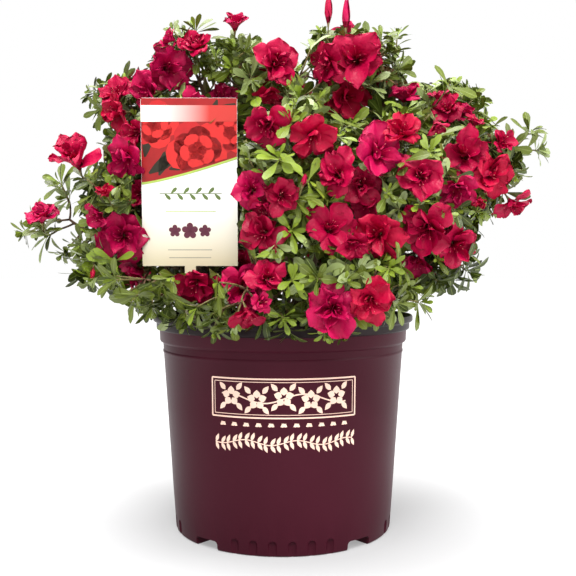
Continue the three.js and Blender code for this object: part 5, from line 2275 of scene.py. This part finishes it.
@dataclass
class Foliage:
    """Whorls of leaves at the shoots' tips, leaves along the shoots, and young tufts in their middles."""

    crown: Crown
    seed: int = 90210
    leaf_long: float = 26
    leaf_wide: float = 8.8
    rib_share: float = 0.07
    rings: tuple[LeafRing, ...] = (
        LeafRing(5, 4, 26, 1.0, 0.0), LeafRing(4, 34, 52, 0.82, 2.0), LeafRing(3, 58, 76, 0.5, 3.5),
    )
    # The young tuft's tint for each tint of a shoot, in the order of LeafTint
    young_tints: tuple[LeafTint, ...] = (
        LeafTint.LIME, LeafTint.FRESH, LeafTint.FRESH, LeafTint.LIME, LeafTint.LIME, LeafTint.BRONZE,
    )
    young_chance: float = 0.7
    ring_stray: float = 0.18
    ring_long: tuple[float, float] = (0.7, 1.2)
    seat: float = 0.6
    along_start: float = 0.94
    along_span: float = 0.6
    along_pitch: tuple[float, float] = (18, 48)
    along_long: tuple[float, float] = (0.7, 1.05)
    wide_spread: tuple[float, float] = (0.82, 1.18)
    curls: tuple[float, float] = (-0.05, 0.3)
    folds: tuple[float, float] = (0.05, 0.5)
    wag: float = 0.25
    roll: float = 0.45
    past_outline: tuple[float, float] = (0.2, 0.9)
    probes: tuple[float, ...] = (0.35, 0.7, 1.0)
    clear: float = 1.5
    along_spacing: float = 8
    most_along: int = 7
    upper_from: float = 400
    middle_from: float = 340
    steps: tuple[float, ...] = (0, 0.12, 0.3, 0.5, 0.7, 0.88, 1.0)
    widths: tuple[float, ...] = (0.14, 0.16, 0.40, 0.74, 1.0, 0.84, 0.2)
    tints: tuple[SkinFinish, ...] = (
        SkinFinish("leaf_mid", 0.38, 0.0002, linear(88, 100, 28), least=0.32, most=0.46),
        # leaf_dark: old dark-green leaves, and also painted shade where it is dealt inside and under the
        # crown
        SkinFinish("leaf_dark", 0.32, 0.0002, linear(56, 68, 16), least=0.32, most=0.46),
        # leaf_grey: a paler grey-green, partly a lit copy of the leaf colour, dealt most in the crown's top
        # as painted light
        SkinFinish("leaf_grey", 0.55, 0.0002, linear(132, 146, 88), least=0.34, most=0.48),
        SkinFinish("leaf_fresh", 0.42, 0.0002, linear(104, 119, 32), least=0.34, most=0.5),
        SkinFinish("leaf_lime", 0.42, 0.0002, linear(120, 140, 38), least=0.36, most=0.5),
        SkinFinish("leaf_bronze", 0.5, 0.0002, linear(112, 78, 46), least=0.36, most=0.5),
        SkinFinish("leaf_rib", 0.45, 0.0002, linear(118, 130, 66), least=0.4, most=0.55),
    )
    leaves: list[Leaf] = field(default_factory=list)

    def sprout(self) -> None:
        """Deals out the leaves of every shoot."""
        random = SeededRandom(self.seed)
        for shoot in self.crown.shoots:
            self.whorl(shoot, random)
            self.along_twig(shoot, random)

    def whorl(self, shoot: Shoot, random: SeededRandom) -> None:
        """Adds the leaves round a shoot's tip, and a young tuft in their middle.

        Args:
            shoot: The shoot.
            random: The stream that varies it.
        """
        u, v = sides_of(shoot.axis, random.between(0, 2 * math.pi))
        count = 1
        if shoot.kind is ShootKind.LEAVES:
            count = 3 if random.draw() < self.young_chance else 2
        young = self.young_tints[shoot.tint.value - 1]
        for number, ring in enumerate(self.rings[:count]):
            for i in range(ring.count):
                stray = random.between(-self.ring_stray, self.ring_stray)
                turn = 2 * math.pi * (i + 0.5 * number + stray) / ring.count
                pitch = math.radians(random.between(ring.least_deg, ring.most_deg))
                out = u * math.cos(turn) + v * math.sin(turn)
                way = out * math.cos(pitch) + shoot.axis * math.sin(pitch)
                face = shoot.axis * math.cos(pitch) - out * math.sin(pitch)
                long = self.leaf_long * shoot.size * ring.scale * random.between(*self.ring_long)
                base = shoot.tip + shoot.axis * (ring.lift - 1) + out * self.seat
                tint = young if number == 2 else shoot.tint
                self.add(shoot, base, way, face, long, tint, random)

    def along_twig(self, shoot: Shoot, random: SeededRandom) -> None:
        """Adds the leaves along the outer part of a shoot.

        Args:
            shoot: The shoot.
            random: The stream that varies it.
        """
        count = int(min(self.most_along, shoot.reach / self.along_spacing))
        turn = random.between(0, 2 * math.pi)
        for i in range(count):
            t = self.along_start - self.along_span * (i + 0.3) / count
            along = unit(shoot.point(t + 0.04) - shoot.point(t - 0.04))
            u, v = sides_of(along)
            turn += GOLDEN_ANGLE
            out = u * math.cos(turn) + v * math.sin(turn)
            pitch = math.radians(random.between(*self.along_pitch))
            way = unit(out * math.cos(pitch) + along * math.sin(pitch))
            face = unit(UP - way * (UP @ way)) * 0.5 + unit(along - way * (along @ way))
            face = unit(face - way * (face @ way))
            long = self.leaf_long * shoot.size * random.between(*self.along_long)
            # Painted shade: half the leaves along a twig below the crown's top are dealt the dark tint
            in_painted_shade = random.draw() < 0.5 and shoot.tip[2] < self.crown.painted_light_above
            tint = LeafTint.DARK if in_painted_shade and shoot.tint is LeafTint.MID else shoot.tint
            self.add(shoot, shoot.point(t), way, face, long, tint, random)

    def add(
        self, shoot: Shoot, base: Array, way: Array, face: Array, long: float, tint: LeafTint,
        random: SeededRandom,
    ) -> None:
        """Adds one leaf, or skips it where it would reach the pot, the label, a bloom's face or the sky.

        Args:
            shoot: The shoot that it grows on.
            base: Where it starts.
            way: Where it points.
            face: Which way its face looks.
            long: Its length.
            tint: Its tint.
            random: The stream that varies it.
        """
        wide = self.leaf_wide * long / self.leaf_long * random.between(*self.wide_spread)
        curl, fold = random.between(*self.curls), random.between(*self.folds)
        wag, roll = random.between(-self.wag, self.wag), random.between(-self.roll, self.roll)
        past = random.between(*self.past_outline)
        side = np.cross(face, way)
        face = unit(face + side * roll)
        way = unit(way + side * wag)
        face = unit(face - way * (face @ way))
        probes = np.array([base + way * long * t - face * curl * long * t * t for t in self.probes])
        if blocked(probes, self.clear).any() or self.crown.hides_bloom(probes, -self.clear).any():
            return
        if not shoot.shown and OUTLINE.sky((base + way * long * past)[None, :])[0]:
            return
        self.leaves.append(Leaf(base, way, face, long, wide, curl, fold, tint, shoot.mass))

    def sheets(self) -> tuple[Array, Array]:
        """The corners of every leaf, with its fold, curl and pointed end.

        Returns:
            Corners as leaves, rows, columns and three numbers, and finish numbers for the faces.
        """
        across = np.array([-1, -self.rib_share, self.rib_share, 1.0])
        base, way, face = columns(self.leaves, "base", "way", "face")
        long, wide, curl, fold = (c[..., None] for c in columns(self.leaves, "long", "wide", "curl", "fold"))
        t = np.array(self.steps)[None, :, None, None]
        q = across[None, None, :, None]
        half = wide / 2 * np.array(self.widths)[None, :, None, None]
        side = np.cross(way, face)
        middle = base + way * long * t * (1 - 0.15 * curl * t)
        middle = middle + face * long * (0.10 * t - (curl + 0.08) * t * t)
        lift = fold * half * np.abs(q) * (1 - 0.35 * np.abs(q))
        marks = face_tints(self.leaves, across, self.steps)
        marks[:, :, 1] = LeafTint.RIB.value - 1
        return middle + side * half * q + face * lift, marks

    def build(self, effects: Effects) -> list[Object]:
        """Builds the leaves as pieces of the upper, middle and lower masses.

        Args:
            effects: The shared node groups.

        Returns:
            The pieces.
        """
        self.sprout()
        points, marks = self.sheets()
        finishes = [tint.dress(effects) for tint in self.tints]
        masses = np.array([leaf.mass for leaf in self.leaves])
        _, depths, heights = np.array([mass.at for mass in MASSES]).T
        middle = (heights < self.upper_from) & (heights >= self.middle_from)
        groups = {
            "leaves_upper": heights >= self.upper_from,
            "leaves_middle_front": middle & (depths <= 0),
            "leaves_middle_back": middle & (depths > 0),
            "leaves_lower": heights < self.middle_from,
        }
        made = []
        for name, members in groups.items():
            chosen = members[masses]
            sheets = MeshStock()
            sheets.add_sheets(points[chosen], marks[chosen])
            nodes = [f"mass_{mass.name}" for mass, member in zip(MASSES, members) if member]
            made.append(set_on_frame(sheets.piece(name, finishes), "foliage", *nodes))
            log.info("%s: %d leaves", name, int(chosen.sum()))
        return made


# Blooms


@dataclass(frozen=True)
class Petal:
    """One petal: its bloom's throat, axis and side, its tint and sizes, and how it opens and ruffles."""

    throat: Array
    axis: Array
    side: Array
    tint: PetalTint
    long: float
    wide: float
    turn: float
    open_deg: float
    cup: float
    twist: float
    bend: float
    crease: float
    point: float
    pleat: float
    ruffle: float
    phase: float


@dataclass(frozen=True)
class Whorl:
    """One ring of petals: how few and how many, their shares of the bloom's radius, how they open."""

    few: int
    many: int
    offset: float
    long: float
    wide: float
    opened: float
    spread: float
    cup: tuple[float, float]
    twist: tuple[float, float]
    ruffle: float


@dataclass
class Blooms:
    """Semi-double blooms: an outer whorl of ruffled lobes, upright inner ones, twisted petals and stamens."""

    crown: Crown
    seed: int = 5150
    bud_below: float = 0.25
    start_deg: float = 20
    outer_above_deg: float = 72
    opened_spread: tuple[float, float] = (0.82, 1.12)
    closed_share: float = 0.45
    long_spread: tuple[float, float] = (0.84, 1.1)
    wide_spread: tuple[float, float] = (0.82, 1.14)
    turn_stray: float = 0.12
    bend: float = 0.16
    crease: tuple[float, float] = (-0.2, 0.45)
    point: tuple[float, float] = (0.12, 0.4)
    pleat: tuple[float, float] = (0.1, 0.26)
    ruffle: tuple[float, float] = (0.5, 1.4)
    full_reach: float = 25
    throat_radius: float = 1.3
    throat_end: float = 0.8
    least_wrap: float = 2.5
    most_wrap: float = 1.4
    # How fast the ruffles and the pleats go up a petal and across it
    ruffle_up: float = 3.4
    ruffle_across: float = 2.2
    end_across: float = 2.6
    pleat_across: float = 4.4
    bud_petals: int = 4
    bud_long: tuple[float, float] = (0.92, 1.02)
    bud_wide: float = 0.36
    stamen_count: int = 5
    stamen_long: float = 0.45
    stamen_spread: tuple[float, float] = (0.75, 1.05)
    stamen_bow: tuple[float, float] = (0.1, 0.4)
    stamen_shares: tuple[float, ...] = (0, 0.4, 0.75, 1.0)
    stamen_radii: tuple[float, ...] = (0.32, 0.27, 0.23, 0.2)
    anther_half: tuple[float, float] = (0.7, 0.45)
    steps: tuple[float, ...] = (0, 0.13, 0.27, 0.42, 0.57, 0.71, 0.84, 0.94, 1.0)
    widths: tuple[float, ...] = (0.14, 0.24, 0.42, 0.68, 0.92, 1.0, 0.9, 0.62, 0.24)
    across: tuple[float, ...] = (-1, -0.64, -0.3, 0, 0.3, 0.64, 1.0)
    shares: tuple[tuple[float, PetalTint], ...] = (
        (0.4, PetalTint.CRIMSON), (0.62, PetalTint.ROSE), (0.82, PetalTint.CHERRY), (1, PetalTint.DEEP),
    )
    whorls: tuple[Whorl, ...] = (
        Whorl(5, 5, 0.0, 1.32, 1.02, 84, 32, (-0.3, 0.45), (-0.2, 0.4), 3.6),
        Whorl(3, 5, 0.5, 1.16, 0.88, 56, 22, (0.05, 0.7), (-0.45, 0.45), 3.0),
        Whorl(2, 4, 0.2, 0.86, 0.5, 27, 14, (0.1, 0.8), (0.3, 1.0), 2.0),
    )
    tints: tuple[SkinFinish, ...] = (
        SkinFinish("petal_crimson", 0.2, 0.0007, linear(168, 1, 57), 300, 0.4, 0.55),
        SkinFinish("petal_deep", 0.2, 0.0007, linear(149, 0, 47), 300, 0.4, 0.55),
        SkinFinish("petal_rose", 0.2, 0.0007, linear(176, 5, 71), 300, 0.4, 0.55),
        SkinFinish("petal_cherry", 0.2, 0.0007, linear(171, 1, 50), 300, 0.4, 0.55),
        SkinFinish("petal_throat", 0.1, 0.0003, linear(116, 0, 34), 380, 0.5, 0.7),
    )
    stamen_finish: SkinFinish = SkinFinish("stamen", 0.3, 0.0001, linear(196, 26, 70), pucker=900)
    anther_finish: SkinFinish = SkinFinish("anther", 0.3, 0.0001, linear(206, 124, 112), pucker=900)
    petals: list[Petal] = field(default_factory=list)

    def gather(self) -> MeshStock:
        """Deals out petals and stamens for every bloom.

        Returns:
            The stamens' mesh stock.
        """
        stamens = MeshStock()
        random = SeededRandom(self.seed)
        for bloom in self.crown.blooms:
            side, _ = sides_of(bloom.axis, random.between(0, 2 * math.pi))
            chance = random.draw()
            # Painted light: blooms high in the crown are never dealt the deep tint, and are more often dealt
            # the rose and cherry ones
            if bloom.throat[2] > self.crown.painted_light_above:
                chance = 0.15 + 0.65 * chance
            tint = next(tint for share, tint in self.shares if chance < share)
            if bloom.opening < self.bud_below:
                self.bud(bloom, side, tint, random)
            else:
                self.open_bloom(bloom, side, tint, random)
                self.stamens(stamens, bloom, side, random)
        return stamens

    def open_bloom(self, bloom: BloomPlace, side: Array, tint: PetalTint, random: SeededRandom) -> None:
        """Adds the whorls of one open bloom.

        Args:
            bloom: Where it is.
            side: A direction square to its axis.
            tint: Its tint.
            random: The stream that varies it.
        """
        reach = bloom.width / 2
        for whorl in self.whorls:
            share = self.closed_share + (1 - self.closed_share) * bloom.opening
            opened = whorl.opened * share * random.between(*self.opened_spread)
            count = int(random.between(whorl.few, whorl.many + 1))
            for i in range(count):
                self.petals.append(Petal(
                    bloom.throat, bloom.axis, side, tint,
                    long=reach * whorl.long * random.between(*self.long_spread),
                    wide=reach * whorl.wide * random.between(*self.wide_spread),
                    turn=2 * math.pi * (
                        i + whorl.offset + random.between(-self.turn_stray, self.turn_stray)
                    ) / count,
                    open_deg=opened + random.between(-whorl.spread, whorl.spread),
                    cup=random.between(*whorl.cup),
                    twist=random.between(*whorl.twist),
                    bend=random.between(-self.bend, self.bend),
                    crease=random.between(*self.crease),
                    point=random.between(*self.point),
                    pleat=random.between(*self.pleat),
                    ruffle=whorl.ruffle * random.between(*self.ruffle) * reach / self.full_reach,
                    phase=random.between(0, 2 * math.pi),
                ))

    def bud(self, bloom: BloomPlace, side: Array, tint: PetalTint, random: SeededRandom) -> None:
        """Adds the four furled petals of a bud.

        Args:
            bloom: Where it is.
            side: A direction square to its axis.
            tint: Its tint.
            random: The stream that varies it.
        """
        for i in range(self.bud_petals):
            self.petals.append(Petal(
                bloom.throat, bloom.axis, side, tint, long=bloom.width * random.between(*self.bud_long),
                wide=bloom.width * self.bud_wide, turn=2 * math.pi / self.bud_petals * i,
                open_deg=-9, cup=0.1, twist=0.3, bend=0, crease=0, point=0.2, pleat=0.05, ruffle=0.2,
                phase=random.between(0, 2 * math.pi),
            ))

    def stamens(self, stock: MeshStock, bloom: BloomPlace, side: Array, random: SeededRandom) -> None:
        """Adds a bloom's stamens, with their pale tips.

        Args:
            stock: The stamens' mesh.
            bloom: Where the bloom is.
            side: A direction square to its axis.
            random: The stream that varies it.
        """
        other = np.cross(bloom.axis, side)
        shares = np.array(self.stamen_shares)[:, None]
        long, half = self.anther_half
        for i in range(self.stamen_count):
            turn = 2 * math.pi * (i + random.draw()) / self.stamen_count
            out = side * math.cos(turn) + other * math.sin(turn)
            bow = random.between(*self.stamen_bow)
            reach = bloom.width * self.stamen_long * random.between(*self.stamen_spread)
            path = bloom.throat + bloom.axis * reach * shares + out * (1.2 + bow * reach * shares**1.6)
            stock.add_tube(path, np.array(self.stamen_radii), 3, 0)
            end, way = path[-1], unit(path[-1] - path[-2])
            a, b = (square * half for square in sides_of(way))
            tips = np.array([end - way * long, end + a, end + b, end - a, end - b, end + way * long])
            faces = [[0, 2, 1], [0, 3, 2], [0, 4, 3], [0, 1, 4], [5, 1, 2], [5, 2, 3], [5, 3, 4], [5, 4, 1]]
            stock.add(tips, faces, 1)

    def sheets(self) -> tuple[Array, Array]:
        """The corners of every petal, curved out of the throat, cupped, twisted and ruffled.

        Returns:
            Corners as petals, rows, columns and three numbers, and finish numbers for the faces.
        """
        throat, axis, side = columns(self.petals, "throat", "axis", "side")
        long, wide, turn, open_deg, cup, twist, bend, crease, point, pleat, ruffle, phase = columns(
            self.petals, "long", "wide", "turn", "open_deg", "cup", "twist", "bend", "crease", "point",
            "pleat", "ruffle", "phase",
        )
        t, q = np.array(self.steps)[None, :, None], np.array(self.across)[None, None, :]
        out = np.abs(q)
        ease = np.clip(t / self.throat_end, 0, 1)
        ease = ease * ease * (3 - 2 * ease)
        first = np.radians(self.start_deg)
        lean = first + (np.radians(open_deg) - first) * ease
        stretch = long * (1 - point * out**2 * t**2) * np.diff(self.steps, prepend=0)[None, :, None]
        radial = self.throat_radius + np.cumsum(stretch * np.sin(lean), axis=1)
        height = np.cumsum(stretch * np.cos(lean), axis=1)
        half = wide / 2 * np.array(self.widths)[None, :, None]
        upright = np.clip(np.cos(lean), 0, 1)
        span = half * q + bend * long * t * t
        wrap = span * upright / np.maximum(radial, self.least_wrap)
        wrap = np.clip(wrap, -self.most_wrap, self.most_wrap)
        flat = span * (1 - upright)
        lift = cup * half * q * q + twist * half * q + crease * half * out * np.clip(2 * t, 0, 1)
        waves = self.ruffle_up * np.pi * t + phase + self.ruffle_across * q
        lift += ruffle * out**1.4 * t**1.5 * np.sin(waves)
        lift += ruffle * 0.5 * t**3 * np.sin(self.end_across * np.pi * q + phase)
        lift += pleat * half * np.sin(self.pleat_across * q + 2 * phase) * t
        angle, r = turn + wrap, radial - lift * np.cos(lean)
        x = r * np.cos(angle) - flat * np.sin(turn)
        y = r * np.sin(angle) + flat * np.cos(turn)
        h = height + lift * np.sin(lean)
        points = throat + side * x[..., None] + np.cross(axis, side) * y[..., None] + axis * h[..., None]
        marks = face_tints(self.petals, self.across, self.steps)
        marks[:, :2, :] = PetalTint.THROAT.value - 1
        return points, marks

    def build(self, effects: Effects) -> list[Object]:
        """Builds petals and stamens, each kind as one piece.

        Args:
            effects: The shared node groups.

        Returns:
            The pieces.
        """
        stamens = self.gather()
        points, marks = self.sheets()
        finishes = [tint.dress(effects) for tint in self.tints]
        outer = np.array([petal.open_deg for petal in self.petals]) > self.outer_above_deg
        made = []
        for name, chosen in (("petals_outer", outer), ("petals_inner", ~outer)):
            sheets = MeshStock()
            sheets.add_sheets(points[chosen], marks[chosen])
            made.append(set_on_frame(sheets.piece(name, finishes), "foliage"))
        log.info("%d blooms, %d petals", len(self.crown.blooms), len(points))
        skins = [self.stamen_finish.dress(effects), self.anther_finish.dress(effects)]
        tips = stamens.piece("stamens", skins)
        return [*made, set_on_frame(tips, "foliage")]


# The studio


@dataclass
class Studio:
    """A floor that glows with painted light, soft lights and the camera at the picture's viewing angle."""

    view: ViewPoint = VIEW
    room_light: tuple[float, float] = (1.0, 0.3)
    room_tint: tuple[float, ...] = (1, 0.99, 0.98, 1)
    dim_corner: tuple[float, float, float] = (-0.82, 0.57, 0.0)
    dim_range: tuple[float, float] = (0.25, 0.95)
    backdrop: float = 1.0
    floor_half: float = 12.0
    # Name, place, aim, side and power of each light, in metres and watts
    panels: tuple[tuple, ...] = (
        ("key_light", (-0.1, -1.45, 2.0), (0, 0, 0.45), 1.0, 58),
        ("right_fill", (1.9, -0.7, 0.8), (0, 0, 0.2), 1.6, 26),
        ("top_light", (-0.4, 0.2, 2.4), (0, 0, 0.3), 1.6, 64),
    )
    # Painted light: how strongly the floor glows close to the pot's foot, where the weak glow paints shade,
    # and far out, and the distances in metres over which it rises
    glow: tuple[float, float] = (0.34, 0.8)
    glow_range: tuple[float, float] = (0.13, 0.35)
    paint: MottledFinish = MottledFinish(
        "pale_floor", 0.05, 0.00001, (0.29, 0.29, 0.294, 1), (0.30, 0.30, 0.304, 1),
        blotch=2, grain=30, least=0.8, most=0.9,
    )

    def build(self, effects: Effects) -> None:
        """Sets up floor, lights, backdrop and camera.

        Args:
            effects: The shared node groups.
        """
        self.floor(effects)
        self.backdrop_light()
        for panel in self.panels:
            self.panel(*panel)
        self.camera()
        bpy.context.scene.view_settings.view_transform = "Standard"

    @staticmethod
    def fade(
        tree: NodeTree, value: NodeSocket, over: tuple[float, float], ends: tuple[float, float]
    ) -> NodeSocket:
        """A strength that goes from one end to the other as a value goes over its range."""
        return spread(tree, value, from_min=over[0], from_max=over[1], to_min=ends[0], to_max=ends[1])

    def floor(self, effects: Effects) -> None:
        """A wide floor under the pot with painted light: it glows, least close to the pot's foot, which
        paints shade round it, and more with its distance, which makes the open floor white.

        Args:
            effects: The shared node groups.
        """
        half = self.floor_half
        mesh = bpy.data.meshes.new("floor")
        corners = [(x, y, 0) for x, y in ((-half, -half), (half, -half), (half, half), (-half, half))]
        mesh.from_pydata(corners, [], [(0, 1, 2, 3)])
        paint = self.paint.dress(effects)
        tree = paint.node_tree
        far = add_node(tree, "VectorMath", {0: coordinate(tree)}, operation="LENGTH").outputs["Value"]
        glow = self.fade(tree, far, self.glow_range, self.glow)
        # Painted light: the floor glows by its distance from the pot's axis
        feed(tree, tree.nodes["Principled BSDF"], {"Emission Color": glow, "Emission Strength": 1})
        mesh.materials.append(paint)
        new_object("floor", mesh)

    def backdrop_light(self) -> None:
        """A white backdrop that lights the part more softly than it shows, and least from its far left."""
        world = bpy.data.worlds.new("backdrop")
        bpy.context.scene.world = world
        world.use_nodes = True
        tree = world.node_tree
        shown = tree.nodes["Background"]
        feed(tree, shown, {"Color": (1, 1, 1, 1), "Strength": self.backdrop})
        corner = {0: coordinate(tree, "Generated"), 1: self.dim_corner}
        toward = add_node(tree, "VectorMath", corner, operation="DOT_PRODUCT")
        side = self.fade(tree, toward.outputs["Value"], self.dim_range, self.room_light)
        room = add_node(tree, "Background", {"Color": self.room_tint, "Strength": side})
        seen = add_node(tree, "LightPath", {}).outputs["Is Camera Ray"]
        either = add_node(tree, "MixShader", {
            "Fac": seen, 1: room.outputs["Background"], 2: shown.outputs["Background"],
        })
        feed(tree, tree.nodes["World Output"], {"Surface": either.outputs["Shader"]})

    @staticmethod
    def panel(name: str, place: tuple, aim: tuple, size: float, power: float) -> None:
        """A square soft light aimed at a point.

        Args:
            name: The light's name.
            place: Where it is, in metres.
            aim: The point it is aimed at.
            size: Its side, in metres.
            power: Its power, in watts.
        """
        light = bpy.data.lights.new(name, "AREA")
        light.size = size
        light.energy = power
        lamp = new_object(name, light)
        lamp.location = place
        lamp.rotation_euler = (Vector(aim) - Vector(place)).to_track_quat("-Z", "Y").to_euler()

    def camera(self) -> None:
        """The camera at the picture's place, pitch and lens."""
        data = bpy.data.cameras.new("camera")
        data.lens = self.view.lens
        data.sensor_width = self.view.sensor
        data.clip_start, data.clip_end = 0.01, 100
        camera = new_object("camera", data)
        camera.location = [c * METRES for c in self.view.place]
        camera.rotation_euler = (math.radians(90 - self.view.pitch_down_deg), 0, 0)
        bpy.context.scene.camera = camera


def main() -> None:
    """Builds every piece in order."""
    logging.basicConfig(level=logging.INFO, format="%(name)s: %(message)s")
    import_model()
    effects = Effects()
    crown = Crown()
    crown.grow()
    log.info("%d shoots, %d blooms", len(crown.shoots), len(crown.blooms))
    Pot().build(effects)
    PotOrnament().build(effects)
    Soil().build(effects)
    Label().build(effects)
    BarkLimbs(crown).build(effects)
    Twigs(crown).build(effects)
    Foliage(crown).build(effects)
    Blooms(crown).build(effects)
    Studio().build(effects)


if __name__ == "__main__":
    main()
